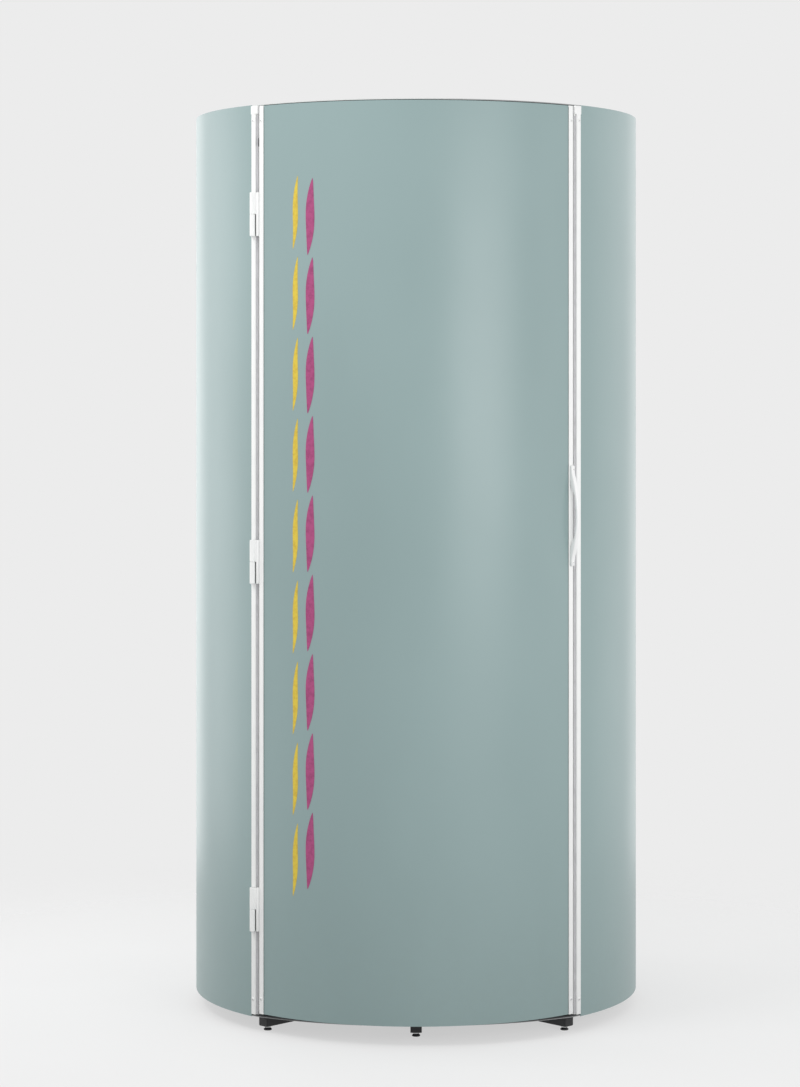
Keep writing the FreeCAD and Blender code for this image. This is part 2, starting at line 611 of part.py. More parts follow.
# ---------------------------------------------------------------- roof: cover, ceiling pan, fans, ballasts
FAN_PLACES = ("-fan_spacing / 2", "fan_spacing / 2")
SPIDER_TURNS = ("45", "135")
GUARD_TURNS = ("0", "90")
roof_cover = new_body("roof_cover")
slab(roof_cover, ROOF_LOW, PANEL_HIGH, circle, "0", "0", f"{SKIN_IN} - seat_gap")
fan_holes = new_sketch(roof_cover, "XY_Plane")
for place in FAN_PLACES:
    circle(fan_holes, place, "0", SHROUD_IN)
bore(roof_cover, fan_holes)


def ceiling_pan():
    """Ceiling disc with a ring wall up to the roof, and intake slots under each fan."""
    body = new_body("ceiling_pan")
    slab(body, CEILING_LOW, CEILING_TOP, circle, "0", "0", PAN_LIP)
    slab(body, CEILING_TOP, ROOF_LOW, ring, "0", "0", PAN_RADIUS, "ring_thickness")
    slots = new_sketch(body, "XY_Plane")
    pitch = "(2 * intake_slot)"
    half_count = int(number(f"(fan_radius - intake_slot) / {pitch}"))
    for place in FAN_PLACES:
        for index in range(-half_count, half_count + 1):
            middle = f"({index} * {pitch})"
            far = f"({abs(index)} * {pitch} + intake_slot / 2)"
            half = f"sqrt(fan_radius * fan_radius - {far} * {far})"
            rectangle(slots, f"{place} - {half}", f"{place} + {half}",
                      f"{middle} - intake_slot / 2", f"{middle} + intake_slot / 2")
    bore(body, slots)
    return body


ceiling = ceiling_pan()
IMPELLER_LOW = f"({SHROUD_LOW} + motor_height + impeller_gap)"


def fan_housing(side):
    """Shroud ring hung under the roof, a cross of bars, the motor and its shaft."""
    body = new_body(f"fan_housing_{side}")
    bind(body, "Placement.Base.x", FAN_PLACES[side])
    slab(body, SHROUD_LOW, ROOF_LOW, ring, "0", "0", f"({SHROUD_IN} + shroud_wall)", "shroud_wall")
    for turn in SPIDER_TURNS:
        slab(body, SHROUD_LOW, f"{SHROUD_LOW} + spider_height", rectangle, f"-{SHROUD_IN} - shroud_wall / 2",
             f"{SHROUD_IN} + shroud_wall / 2", "-guard_bar", "guard_bar", turn=turn)
    slab(body, SHROUD_LOW, f"{SHROUD_LOW} + motor_height", circle, "0", "0", "motor_radius")
    slab(body, SHROUD_LOW, f"{IMPELLER_LOW} + blade_height", circle, "0", "0", "shaft_radius")
    return body


def fan_impeller(name, place):
    """Hub with skewed blades, bored to run on the motor's shaft."""
    body = new_body(name)
    bind(body, "Placement.Base.x", place)
    top = f"({IMPELLER_LOW} + blade_height)"
    slab(body, IMPELLER_LOW, top, circle, "0", "0", "impeller_hub")
    edge = new_sketch(body, "YZ_Plane", "impeller_hub - blade_thickness")
    outline(edge, [("-blade_skew", IMPELLER_LOW), ("blade_thickness - blade_skew", IMPELLER_LOW),
                   ("blade_skew", top), ("blade_skew - blade_thickness", top)])
    blade = pad(body, edge, "fan_radius - impeller_hub")
    around(body, [blade], "blade_count", "360")
    hole = new_sketch(body, "XY_Plane")
    circle(hole, "0", "0", "shaft_radius + shaft_gap")
    bore(body, hole)
    return body


def fan_guard(side):
    """Rings of wire on two crossing bars, over the hole in the roof cover."""
    body = new_body(f"fan_guard_{side}")
    bind(body, "Placement.Base.x", FAN_PLACES[side])
    rings = new_sketch(body, "XY_Plane", PANEL_HIGH)
    for index in range(1, int(number(f"{SHROUD_IN} / guard_pitch"))):
        circle(rings, "0", "0", f"{index} * guard_pitch")
        circle(rings, "0", "0", f"{index} * guard_pitch + guard_wire")
    circle(rings, "0", "0", f"{SHROUD_IN} - guard_wire")
    circle(rings, "0", "0", f"{SHROUD_IN} + 2 * guard_wire")
    pad(body, rings, "guard_thickness")
    for turn in GUARD_TURNS:
        slab(body, PANEL_HIGH, f"{PANEL_HIGH} + guard_thickness", rectangle, f"-{SHROUD_IN}", SHROUD_IN,
             "-guard_bar / 2", "guard_bar / 2", turn=turn)
    return body


fan_housings = group("fan_housings", fan_housing(0), fan_housing(1))
fan_impeller_left = fan_impeller("fan_impeller_left", FAN_PLACES[0])
fan_impeller_right = fan_impeller("fan_impeller_right", FAN_PLACES[1])
fan_guards = group("fan_guards", fan_guard(0), fan_guard(1))

ballasts = new_body("ballasts")
first_ballast = "(-ballast_pitch * (ballast_count - 1) / 2)"
row_half = f"({first_ballast} - ballast_width / 2)"
pan_in = f"({PAN_RADIUS} - ring_thickness)"
ballast_far = f"(sqrt({pan_in} * {pan_in} - {row_half} * {row_half}) - ballast_gap)"
ballast_rows = new_sketch(ballasts, "XY_Plane", CEILING_TOP)
for near, far in ((f"{ballast_far} - ballast_length", ballast_far),
                  (f"-{ballast_far}", f"ballast_length - {ballast_far}")):
    rectangle(ballast_rows, row_half, f"{row_half} + ballast_width", near, far)
ballast_pair = pad(ballasts, ballast_rows, "ballast_height")
along(ballasts, [ballast_pair], "X_Axis", "ballast_count", "ballast_pitch * (ballast_count - 1)")

# ---------------------------------------------------------------- door: skin, rails
door_edge = f"(gap_angle - {degrees_at(NOSE_FAR + ' + seat_gap', 'body_radius')})"
door_skin = rolled("door_skin", sheet(SKIN_IN, "body_radius", DOOR_LOW, DOOR_HIGH),
                   (f"-{door_edge}", door_edge))
WEB_IN = f"({POST_IN} + ring_thickness)"
WEB_OUT = f"({WEB_IN} + ring_thickness)"


def door_rail(name, closed, lip):
    """Channel bent to the door's curve: closed is the flange at its end, lip the one that holds the lamps."""
    inward = 1 if number(lip) > number(closed) else -1
    flange, shelf = f"({closed} + {inward} * ring_thickness)", f"({lip} - {inward} * ring_thickness)"
    return rolled(name, [
        (WEB_IN, closed), (SHEET_SEAT, closed), (SHEET_SEAT, flange), (WEB_OUT, flange), (WEB_OUT, shelf),
        (SHEET_SEAT, shelf), (SHEET_SEAT, lip), (RAIL_IN, lip), (RAIL_IN, shelf), (WEB_IN, shelf)],
        (f"-{before_stile(RAIL_IN)}", before_stile(RAIL_IN)))


door_rail_low = door_rail("door_rail_low", DOOR_LOW, LOW_CARRIER_TOP)
door_rail_high = door_rail("door_rail_high", DOOR_HIGH, HIGH_CARRIER_LOW)

# ---------------------------------------------------------------- hinges, drawn on the right seam and mirrored
hinge_low = f"({DOOR_LOW} + hinge_foot_inset)"
hinge_high = f"({DOOR_HIGH} - hinge_head_inset)"
HINGES = (hinge_low, f"(({hinge_low} + {hinge_high}) / 2)", hinge_high)
PIN = ("hinge_offset", "-hinge_stand")


def hinge_body_half():
    """Lower knuckle on a foot that stands on the post's nose."""
    body = new_body("hinge_body_half", "gap_angle")
    for height in HINGES:
        low, high = f"{height} - hinge_half", f"{height} - knuckle_gap / 2"
        slab(body, low, high, circle, *PIN, "hinge_radius")
        slab(body, low, high, rectangle, "recess_half + nose_round", f"{NOSE_FAR} - nose_round",
             "-hinge_foot", "-nose_height")
    hole = new_sketch(body, "XY_Plane")
    circle(hole, *PIN, "pin_radius + pin_gap")
    bore(body, hole)
    return body


def hinge_door_half():
    """Leaf on the stile's recess, as tall as the hinge, with the upper knuckle."""
    body = new_body("hinge_door_half", "gap_angle")
    for height in HINGES:
        low, high = f"{height} + knuckle_gap / 2", f"{height} + hinge_half"
        slab(body, f"{height} - hinge_half", high, rectangle, "seat_gap - recess_half", "leaf_edge",
             "-leaf_rise", "recess_depth")
        slab(body, low, high, rectangle, "0", "hinge_offset", "-hinge_stand", "-nose_height - leaf_clear")
        slab(body, low, high, circle, *PIN, "hinge_radius")
    hole = new_sketch(body, "XY_Plane")
    circle(hole, *PIN, "pin_radius + pin_gap")
    bore(body, hole)
    return body


def hinge_pin():
    body = new_body("hinge_pin", "gap_angle")
    for height in HINGES:
        slab(body, f"{height} - hinge_half", f"{height} + hinge_half", circle, *PIN, "pin_radius")
    return body


hinge_body_halves = mirrored("hinge_body_halves", hinge_body_half())
hinge_door_halves = mirrored("hinge_door_halves", hinge_door_half())
hinge_pins = mirrored("hinge_pins", hinge_pin())

# ---------------------------------------------------------------- handles


def bow_handle(name, middle, seat, length, reach, thick, width, radius="body_radius", facing="0"):
    """Bar bent to a shallow bow between two feet; middle is its x, seat the y of the face it stands on."""
    body = new_body(name, "gap_angle", radius, "handle_height", facing)
    half, rise = f"({length} / 2 - handle_foot)", f"({reach} - {thick})"
    bend = f"(({half} * {half} + {rise} * {rise}) / (2 * {rise}))"
    sides = (f"{middle} - {width} / 2", f"{middle} + {width} / 2")
    sketch = new_sketch(body, "XY_Plane", shift=f"{seat} - {rise} + {bend}")
    rectangle(sketch, *sides, f"-{bend} - {thick}", f"-{bend}")
    bow = body.newObject("PartDesign::Revolution", name + "_bow")
    bow.Profile = sketch
    bow.ReferenceAxis = (sketch, ["H_Axis"])
    bow.Midplane = True
    bind(bow, "Angle", f"2 * asin({half} / {bend})")
    for sign in (-1, 1):
        low, high = sorted((f"{sign} * ({half} - {thick} / 2)", f"{sign} * {length} / 2"), key=number)
        slab(body, low, high, rectangle, *sides, f"{seat} - {thick}", seat)
    return body


door_handle = bow_handle("door_handle", f"(-{NOSE_MIDDLE})", "(-nose_height)", "handle_length", "handle_reach",
                         "handle_thick", "handle_width")
door_pull = bow_handle("door_pull", NOSE_MIDDLE, "0", "pull_length", "pull_reach", "pull_thick", "pull_width",
                       f"{SHIELD_IN} - 2 * seat_gap", "180")

# ---------------------------------------------------------------- catches, seals, screws
CATCHES = (f"({DOOR_LOW} + catch_inset)", f"({DOOR_HIGH} - catch_inset)")
door_catches = new_body("door_catches", "gap_angle")
catch_face = "(post_depth + striker_thickness + seat_gap)"
for height in CATCHES:
    slab(door_catches, f"{height} - catch_half", f"{height} + catch_half", outline,
         [("gap_width / 2 + seat_gap", "post_depth"), (f"{POST_FAR} - post_wall", "post_depth"),
          (f"{POST_FAR} - post_wall", "post_depth + catch_depth"), ("-catch_half", "post_depth + catch_depth"),
          ("-catch_half", catch_face), ("gap_width / 2 + seat_gap", catch_face)])
door_strikers = new_body("door_strikers", "gap_angle")
for height in CATCHES:
    slab(door_strikers, f"{height} - catch_half", f"{height} + catch_half", rectangle,
         "-catch_half - gap_width / 2", "-gap_width", "post_depth", "post_depth + striker_thickness")

seal_right = new_body("door_seal_right", "gap_angle")
slab(seal_right, DOOR_LOW, DOOR_HIGH, rectangle, "seat_gap - gap_width / 2", "gap_width / 2",
     "seal_depth", "seal_depth + seal_width")
door_seals = group("door_seals", seal_right, mirrored("door_seal_left", seal_right))


def screw_heads(name, turn, middle, heights):
    body = new_body(name, turn)
    for height in heights:
        stub(body, "-nose_height", "screw_rise", circle, middle, height, "screw_head")
    return body


POST_SCREWS = (f"{PLATE_TOP} + screw_inset", f"{ROOF_LOW} - screw_inset")
front_screws = screw_heads("front_screws", "gap_angle", NOSE_MIDDLE, POST_SCREWS)
rear_screws = screw_heads("rear_screws", REAR_ANGLE, "0", POST_SCREWS)
post_screws = group("post_screws", front_screws, mirrored("front_screws_left", front_screws),
                    rear_screws, mirrored("rear_screws_left", rear_screws))
stile_screws = screw_heads("stile_screws", "gap_angle", f"(-{NOSE_MIDDLE})",
                           (f"{DOOR_LOW} + screw_inset", f"{DOOR_HIGH} - screw_inset"))
door_screws = group("door_screws", stile_screws, mirrored("stile_screws_left", stile_screws))

# ---------------------------------------------------------------- inside: controls and grab bars
PANEL_RADIUS = f"sqrt(({SHIELD_IN} - seat_gap) * ({SHIELD_IN} - seat_gap) - control_width * control_width / 4)"
KNOB_PLACE = ("0", "control_tall / 2 - control_width / 2")
BUTTON_PLACES = {"start_button": ("0", "-control_tall / 2 + control_width / 2 + button_pitch"),
                 "stop_button": ("0", "-control_tall / 2 + control_width / 2")}


def at_control(name):
    return new_body(name, "control_turn", PANEL_RADIUS, "control_height")


control_box = at_control("control_box")
stub(control_box, "control_depth", "control_depth", rectangle, "-control_width / 2", "control_width / 2",
     "-control_tall / 2", "control_tall / 2")
sink(control_box, "control_depth", "spindle_length", circle, *KNOB_PLACE, "spindle_radius + spindle_gap")
for place in BUTTON_PLACES.values():
    sink(control_box, "control_depth", "button_hole", circle, *place, "button_radius + button_gap")

timer_knob = at_control("timer_knob")
knob_face = "(control_depth + seat_gap + knob_depth)"
stub(timer_knob, knob_face, "knob_depth", circle, *KNOB_PLACE, "knob_radius")
stub(timer_knob, "control_depth + seat_gap", "spindle_length", circle, *KNOB_PLACE, "spindle_radius")
stub(timer_knob, f"{knob_face} + pointer_rise", "pointer_rise", rectangle,
     "-pointer_width / 2", "pointer_width / 2",
     f"{KNOB_PLACE[1]} + spindle_radius", f"{KNOB_PLACE[1]} + knob_radius - pointer_rise")


def push_button(name):
    body = at_control(name)
    stub(body, "control_depth + button_rise", "button_rise + button_depth", circle, *BUTTON_PLACES[name],
         "button_radius")
    return body


start_button = push_button("start_button")
stop_button = push_button("stop_button")

grab_bar = new_body("grab_bar_right", REAR_ANGLE, f"{POST_IN} - grab_setback", "grab_height")
slab(grab_bar, "-grab_half", "grab_half", circle, "0", "0", "grab_radius")
for sign in (-1, 1):
    middle = f"({sign} * (grab_half - grab_post))"
    slab(grab_bar, f"{middle} - grab_post / 2", f"{middle} + grab_post / 2", rectangle,
         "-rail_half", "rail_half", "3 * seat_gap + shield_thickness - grab_setback", "0")
grab_bars = group("grab_bars", grab_bar, mirrored("grab_bar_left", grab_bar))


# ---------------------------------------------------------------- export
def export(nodes):
    doc.recompute()
    failed = [item.Name for item in doc.Objects if "Invalid" in item.State or "Error" in item.State]
    for name, item in nodes.items():
        if item.Shape.isNull() or not item.Shape.isValid() or not item.Shape.Solids:
            failed.append(name)
    if failed:
        raise RuntimeError("not built: " + ", ".join(failed))
    os.makedirs("parts", exist_ok=True)
    for name, item in nodes.items():
        item.Shape.exportStep(f"parts/{name}.step")
        print(f"{name}: {len(item.Shape.Solids)} solids")


NODES = [
    frame_body, end_caps, *feet, base_plate, base_ring, floor_panel, mat,
    front_post_right, front_post_left, rear_posts,
    side_panel_right, side_panel_left, rear_panel_body, mains_gland,
    roof_ring, roof_cover, ceiling, fan_housings, fan_impeller_left, fan_impeller_right, fan_guards, ballasts,
    lamp_carriers, body_lamps, body_lamp_holders, body_reflectors,
    shield_right, shield_left, shield_rear, shield_rails, grab_bars,
    control_box, timer_knob, start_button, stop_button, door_catches, door_seals, post_screws,
    hinge_body_halves, hinge_pins,
    door_skin, door_stile_right, door_stile_left, door_rail_low, door_rail_high, door_reflector, door_shield,
    door_lamps, door_lamp_holders, door_handle, door_pull, hinge_door_halves, door_strikers, door_screws,
]
export({item.Label: item for item in NODES})
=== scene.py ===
# %% [markdown]
# # A tanning booth, dressed piece by piece
# The booth is a cylinder of lacquered sheet metal with a curved door, white aluminium posts,
# thirty-six upright lamps inside and two fans in its roof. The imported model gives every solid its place.
# This lesson adds what a solid model lacks: finishes, rounded edges, threads, wires and glass.
# One frame holds throughout: metres, z up, the origin on the cylinder's axis at floor level, and the
# door faces -y. A "turn" is an angle from the door's middle towards +x.

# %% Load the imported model
import math

import bmesh
import bpy
from mathutils import Matrix, Vector


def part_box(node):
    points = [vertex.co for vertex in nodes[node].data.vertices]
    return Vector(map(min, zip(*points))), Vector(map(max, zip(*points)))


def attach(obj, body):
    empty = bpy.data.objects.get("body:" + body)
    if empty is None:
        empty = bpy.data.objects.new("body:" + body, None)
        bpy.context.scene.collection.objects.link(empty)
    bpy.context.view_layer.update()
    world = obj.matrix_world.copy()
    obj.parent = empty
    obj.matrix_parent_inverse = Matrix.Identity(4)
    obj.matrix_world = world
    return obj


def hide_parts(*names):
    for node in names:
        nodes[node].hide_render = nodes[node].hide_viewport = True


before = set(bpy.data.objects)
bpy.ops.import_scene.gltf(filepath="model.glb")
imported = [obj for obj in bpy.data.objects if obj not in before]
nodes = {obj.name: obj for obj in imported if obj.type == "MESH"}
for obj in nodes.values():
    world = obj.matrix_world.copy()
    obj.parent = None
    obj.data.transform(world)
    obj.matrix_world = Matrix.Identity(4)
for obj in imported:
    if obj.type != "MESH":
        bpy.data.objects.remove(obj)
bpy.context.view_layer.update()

# %% [markdown]
# ## The camera
# A product shot of something as tall as a person is taken from well back with a long lens, level, at about
# eye height. The lens stays level so that upright edges stay parallel, and the picture is moved on the
# sensor with the lens shift instead of tilting the camera.

# %% Camera
PICTURE = (800, 1087)
FOCAL_PIXELS = 2864.3
AXIS_COLUMN, HORIZON_ROW = 416.1, 397.7
EYE_DISTANCE, EYE_HEIGHT = 6.666, 1.396
long_side = max(PICTURE)
lens = bpy.data.cameras.new("lens")
lens.sensor_width = 36
lens.lens = FOCAL_PIXELS / long_side * lens.sensor_width
lens.shift_x = (PICTURE[0] / 2 - AXIS_COLUMN) / long_side
lens.shift_y = (HORIZON_ROW - PICTURE[1] / 2) / long_side
camera = bpy.data.objects.new("camera", lens)
camera.location = (0, -EYE_DISTANCE, EYE_HEIGHT)
camera.rotation_euler = (math.radians(90), 0, 0)
scene = bpy.context.scene
scene.collection.objects.link(camera)
scene.camera = camera
scene.view_settings.view_transform = "Standard"
print("lens", round(lens.lens, 2), "mm, shift", round(lens.shift_x, 4), round(lens.shift_y, 4))

# %% [markdown]
# ## Shader maths as plain expressions
# A finish is a small network of nodes. Written node by node it takes twenty lines to say "half of this plus
# a third of that". A class that wraps a socket and overloads the operators says it in one line, and each
# operator adds the Math node for it. Colours don't go through Math nodes, because those turn a colour grey,
# so they have a mixing method of their own. Every other node comes from one method of the network, which
# takes the node's type, its settings and the values or links of its sockets.

# %% A socket that can be added and multiplied
class Socket:
    """An output of a shader node; sums and products on it add Math nodes to its network."""

    def __init__(self, network, socket):
        self.network = network
        self.socket = socket

    def maths(self, operation, *terms):
        """The outcome of one Math node."""
        return self.network.add("Math", {"operation": operation}, dict(enumerate(terms)))

    def __add__(self, other):
        return self.maths("ADD", self, other)

    def __sub__(self, other):
        return self.maths("SUBTRACT", self, other)

    def __rsub__(self, other):
        return self.maths("SUBTRACT", other, self)

    def __mul__(self, other):
        return self.maths("MULTIPLY", self, other)

    def __pow__(self, other):
        return self.maths("POWER", self, other)

    def __rpow__(self, other):
        return self.maths("POWER", other, self)

    __radd__ = __add__
    __rmul__ = __mul__

    def larger(self, other):
        """The larger of two values."""
        return self.maths("MAXIMUM", self, other)

    def beside(self, output):
        """Another output of the same node."""
        return Socket(self.network, self.socket.node.outputs[output])

    def spread(self, low, high, start=0.0, end=1.0):
        """The range low to high of this socket, laid smoothly over start to end."""
        return self.network.add("MapRange", {"interpolation_type": "SMOOTHSTEP"},
                                {"Value": self, "From Min": low, "From Max": high,
                                 "To Min": start, "To Max": end})


# %% A network that grows node by node
class Network:
    """The nodes of one finish, or of the background."""

    def __init__(self, tree):
        self.tree = tree

    def add(self, kind, settings, sockets, out=0):
        """Adds a node: its settings first, then the values or links of its sockets. Gives one output."""
        node = self.tree.nodes.new("ShaderNode" + kind)
        for key, setting in settings.items():
            setattr(node, key, setting)
        for key, value in sockets.items():
            self.feed(node.inputs[key], value)
        return Socket(self, node.outputs[out])

    def feed(self, socket, value):
        """Links a socket to an input, or sets the input to a plain value."""
        if isinstance(value, Socket):
            self.tree.links.new(value.socket, socket)
        else:
            socket.default_value = value


# %% [markdown]
# ## A finish
# Every surface here is a Principled shader with a few constants (how metallic, how rough, how clear) and a
# few inputs that change over the surface. The constants are set on the shader's own sockets. Only colour,
# roughness, alpha, glow and the normal get links, because those survive an export to other programs.
# Patterns read the object's own coordinates in metres.

# %% Finishes
def tint(red, green, blue):
    """A colour given as it looks on a screen, 0 to 255, as the linear numbers that a shader takes."""
    linear = [((part / 255 + 0.055) / 1.055) ** 2.4 if part > 10 else part / 3294.6
              for part in (red, green, blue)]
    return (*linear, 1.0)


class Finish(Network):
    """A procedural material round one Principled shader."""

    def __init__(self, name, **constants):
        self.material = bpy.data.materials.new(name)
        self.material.use_nodes = True
        super().__init__(self.material.node_tree)
        self.shader = self.tree.nodes["Principled BSDF"]
        self.place = self.add("TexCoord", {}, {}, "Object")
        for key, setting in constants.items():
            self.shader.inputs[key.replace("_", " ")].default_value = setting

    def surface(self, **inputs):
        """Links what changes over the surface to the shader."""
        for key, value in inputs.items():
            self.feed(self.shader.inputs[key.replace("_", " ")], value)
        print("finish", self.material.name, "of", len(self.tree.nodes), "nodes")
        return self

    def scaled(self, x, y, z):
        """The object's coordinates, each multiplied, to stretch a pattern."""
        return self.add("VectorMath", {"operation": "MULTIPLY"}, {0: self.place, 1: (x, y, z)})

    def noise(self, scale, detail=2.0, rough=0.5, where=None):
        """A cloudy pattern; a scale of 400 means details of 2.5 mm."""
        return self.add("TexNoise", {}, {"Vector": where or self.place, "Scale": scale,
                                         "Detail": detail, "Roughness": rough})

    def blend(self, first, second, share):
        """Mixes two colours."""
        return self.add("Mix", {"data_type": "RGBA"}, {0: share, 6: first, 7: second}, 2)

    def relief(self, height, depth):
        """Turns a height pattern, depth metres deep, into a bent normal."""
        return self.add("Bump", {}, {"Height": height, "Distance": depth})

    def parts(self):
        """The object's coordinates as three separate numbers."""
        x = self.add("SeparateXYZ", {}, {"Vector": self.place}, "X")
        return x, x.beside("Y"), x.beside("Z")


# %% [markdown]
# ## Lacquer on the sheets
# The door and the panels are thin steel sheets in a grey-green powder lacquer. Powder coat is never quite
# flat: it has a fine peel like an orange's skin, and the thin sheet behind it is slightly wavy, which shows
# as soft bends in the reflections. So its relief is the sum of a fine pattern and one that is decimetres
# wide. The colour drifts by a few parts in a hundred. The lowest half metre is painted a little darker in
# patches, as painted shade towards the floor, and dust makes it a little rougher there.

# %% Sage lacquer
sage = Finish("sage_lacquer", Roughness=0.4, Coat_Weight=0.25, Coat_Roughness=0.3)
drift = sage.noise(2.2, 3, where=sage.scaled(1, 1, 0.5))
# Painted shade: the lowest half metre turns darker in patches; dust there only adds roughness.
low_shade_and_dust = sage.parts()[2].spread(0.04, 0.5, 1, 0)
clean = sage.blend(tint(138, 160, 160), tint(144, 166, 166), drift.spread(0.3, 0.7))
peel = sage.noise(520, 1)
wave = sage.noise(3.1, 1, where=sage.scaled(1, 1, 0.4))
sage.surface(Base_Color=sage.blend(clean, tint(136, 150, 148), low_shade_and_dust * sage.noise(60, 4) * 0.3),
             Roughness=0.36 + sage.noise(9, 3) * 0.06 + low_shade_and_dust * 0.06,
             Normal=sage.relief(peel * 0.06 + wave, 0.0005))

# %% [markdown]
# The posts and stiles are white lacquered aluminium extrusions. An extrusion is pulled through its die, so
# what shows on it are faint lines along its length: a noise stretched a hundred times in z.

# %% White lacquer on extrusions
white = Finish("white_lacquer", Roughness=0.32, Specular_IOR_Level=0.35)
draw_lines = white.noise(260, 2, where=white.scaled(1, 1, 0.01))
hand_marks = white.noise(14, 5, 0.6)
touched = hand_marks.spread(0.25, 0.6)
white.surface(Base_Color=white.blend(tint(240, 241, 241), tint(245, 246, 245), touched),
              Roughness=0.3 + hand_marks * 0.05,
              Normal=white.relief(draw_lines, 0.00012))

# %% [markdown]
# The base, the roof and the ceiling are satin black steel. Dust settles on what faces up, which is found
# from the surface's normal. Two rims get a painted highlight in pale grey. The roof's rim is picked out by
# its distance from the axis and its height, and its painted highlight is palest on the left, above the
# hinges. The base plate's rim is picked out by its height, and only where it looks sideways.

# %% Black lacquer
black = Finish("black_lacquer", Roughness=0.42)
upward = black.add("SeparateXYZ", {}, {"Vector": black.add("NewGeometry", {}, {}, "Normal")}, "Z")
dust = upward.spread(0.6, 1.0) * black.noise(24, 6, 0.65).spread(0.35, 0.75)
from_middle = black.add("VectorMath", {"operation": "LENGTH"}, {0: black.scaled(1, 1, 0)}, "Value")
across, _, level = black.parts()
# Painted highlights: pale grey on the roof's rim, palest on the left, and on the sideways faces of the base
# plate's rim.
roof_rim = from_middle.spread(0.5074, 0.5080) * level.spread(2.030, 2.036)
plate_edge = level.spread(0.0344, 0.0352) * level.spread(0.0364, 0.0370, 1, 0)
plate_rim = (1 - upward.spread(0.3, 0.6)) * plate_edge
rim_highlights = roof_rim * 0.9 + plate_rim * 0.95
lacquered = black.blend(tint(30, 32, 35), tint(82, 82, 80), dust * 0.14)
rim_highlight_grey = black.blend(tint(156, 158, 159), tint(222, 224, 223),
                     roof_rim * across.spread(-0.04, 0.2, 1, 0))
black.surface(Base_Color=black.blend(lacquered, rim_highlight_grey, rim_highlights),
              Roughness=0.38 + dust * 0.16 + black.noise(40, 2) * 0.06,
              Normal=black.relief(black.noise(700, 1), 0.00006))


# %% [markdown]
# Plastic and rubber mouldings carry a spark-eroded grain: a fine noise in the relief and a slightly uneven
# roughness. One function makes all of these, with the colour and the grain's size as its numbers.

# %% Moulded plastics
def moulded(name, colour, roughness, grain=900, depth=0.00005, **constants):
    """A moulded plastic with a fine grain."""
    made = Finish(name, **constants)
    tone = made.noise(35, 4, 0.6)
    darker = tuple(part * 0.86 for part in colour[:3]) + (1.0,)
    return made.surface(Base_Color=made.blend(darker, colour, tone.spread(0.3, 0.65)),
                        Roughness=roughness - 0.04 + tone * 0.08,
                        Normal=made.relief(made.noise(grain, 2), depth))


black_plastic = moulded("black_moulding", tint(27, 28, 30), 0.5)
foot_plastic = moulded("foot_moulding", tint(40, 40, 43), 0.6)
white_plastic = moulded("holder_moulding", tint(232, 232, 226), 0.38, 700, 0.00003)
green_plastic = moulded("start_moulding", tint(36, 140, 72), 0.28, Coat_Weight=0.3)
red_plastic = moulded("stop_moulding", tint(186, 34, 38), 0.28, Coat_Weight=0.3)
grey_rubber = moulded("seal_rubber", tint(72, 74, 77), 0.78, 400, 0.00012)
mat_rubber = moulded("mat_rubber", tint(58, 60, 64), 0.82, 300, 0.0002)

# %% [markdown]
# The floor under the mat is a coated board: a pale grey with a fine two-tone speckle. A Voronoi pattern
# gives each cell a value of its own, which reads as flecks.

# %% Floor board
board = Finish("floor_board", Roughness=0.5)
flecks = board.add("TexVoronoi", {}, {"Vector": board.place, "Scale": 420}, "Color")
fleck = board.add("SeparateXYZ", {}, {"Vector": flecks}, "X")
board.surface(Base_Color=board.blend(tint(160, 162, 162), tint(118, 121, 124), fleck.spread(0.55, 0.8)),
              Roughness=0.42 + fleck * 0.12)

# %% [markdown]
# ## Bare metals
# Three metals are left bare. Galvanised steel has spangle, crystals a centimetre wide that each reflect a
# little differently, again a Voronoi pattern, this time on roughness. The lamps' reflectors are rolled
# bright aluminium with fine lines along the sheet. Screws, pins and the grab bars are zinc-bright steel.

# %% Galvanised steel, bright aluminium, zinc
galvanised = Finish("galvanised_steel", Metallic=0.9, Roughness=0.4)
crystals = galvanised.add("TexVoronoi", {}, {"Vector": galvanised.place, "Scale": 95}, "Color")
crystal = galvanised.add("SeparateXYZ", {}, {"Vector": crystals}, "X")
galvanised.surface(Base_Color=galvanised.blend(tint(168, 172, 176), tint(196, 199, 202), crystal),
                   Roughness=0.3 + crystal * 0.22)

bright = Finish("bright_aluminium", Metallic=1.0, Roughness=0.2)
rolling = bright.noise(180, 3, where=bright.scaled(1, 1, 0.015))
bright.surface(Base_Color=bright.blend(tint(214, 218, 222), tint(233, 235, 238), rolling),
               Roughness=0.16 + rolling * 0.1, Normal=bright.relief(rolling, 0.00008))

zinc = Finish("zinc_bright_steel", Metallic=0.95, Roughness=0.3)
handling = zinc.noise(55, 5, 0.65)
zinc.surface(Base_Color=zinc.blend(tint(176, 177, 176), tint(206, 207, 208), handling),
             Roughness=0.22 + handling * 0.16)

ballast_paint = Finish("ballast_enamel", Roughness=0.4)
runs = ballast_paint.noise(30, 4)
ballast_paint.surface(Base_Color=ballast_paint.blend(tint(188, 190, 188), tint(206, 207, 204), runs),
                      Roughness=0.34 + runs * 0.12)

# %% [markdown]
# ## Lamps and their clear shields
# A fluorescent tube looks white and even because of the phosphor powder inside its glass, with the glass's
# own gloss on top: a white base under a clear coat. The ends darken over the years where the electrodes
# are. The shields in front are clear acrylic. They are made see-through with alpha and not with
# transmission, so that light passes them without costing extra samples, and they turn more solid at a flat
# angle, as a polished sheet does.

# %% Tube glass and clear acrylic
glass = Finish("tube_glass", Roughness=0.3, Coat_Roughness=0.05, Coat_Weight=0.7)
height = glass.parts()[2]
aged = height.spread(0.158, 0.21, 1, 0) + height.spread(1.855, 1.906)
glass.surface(Base_Color=glass.blend(tint(236, 237, 240), tint(176, 172, 170),
                                     aged * glass.noise(30, 3).spread(0.3, 0.8, 0.5, 1) * 0.75),
              Roughness=0.24 + glass.noise(80, 2) * 0.1)

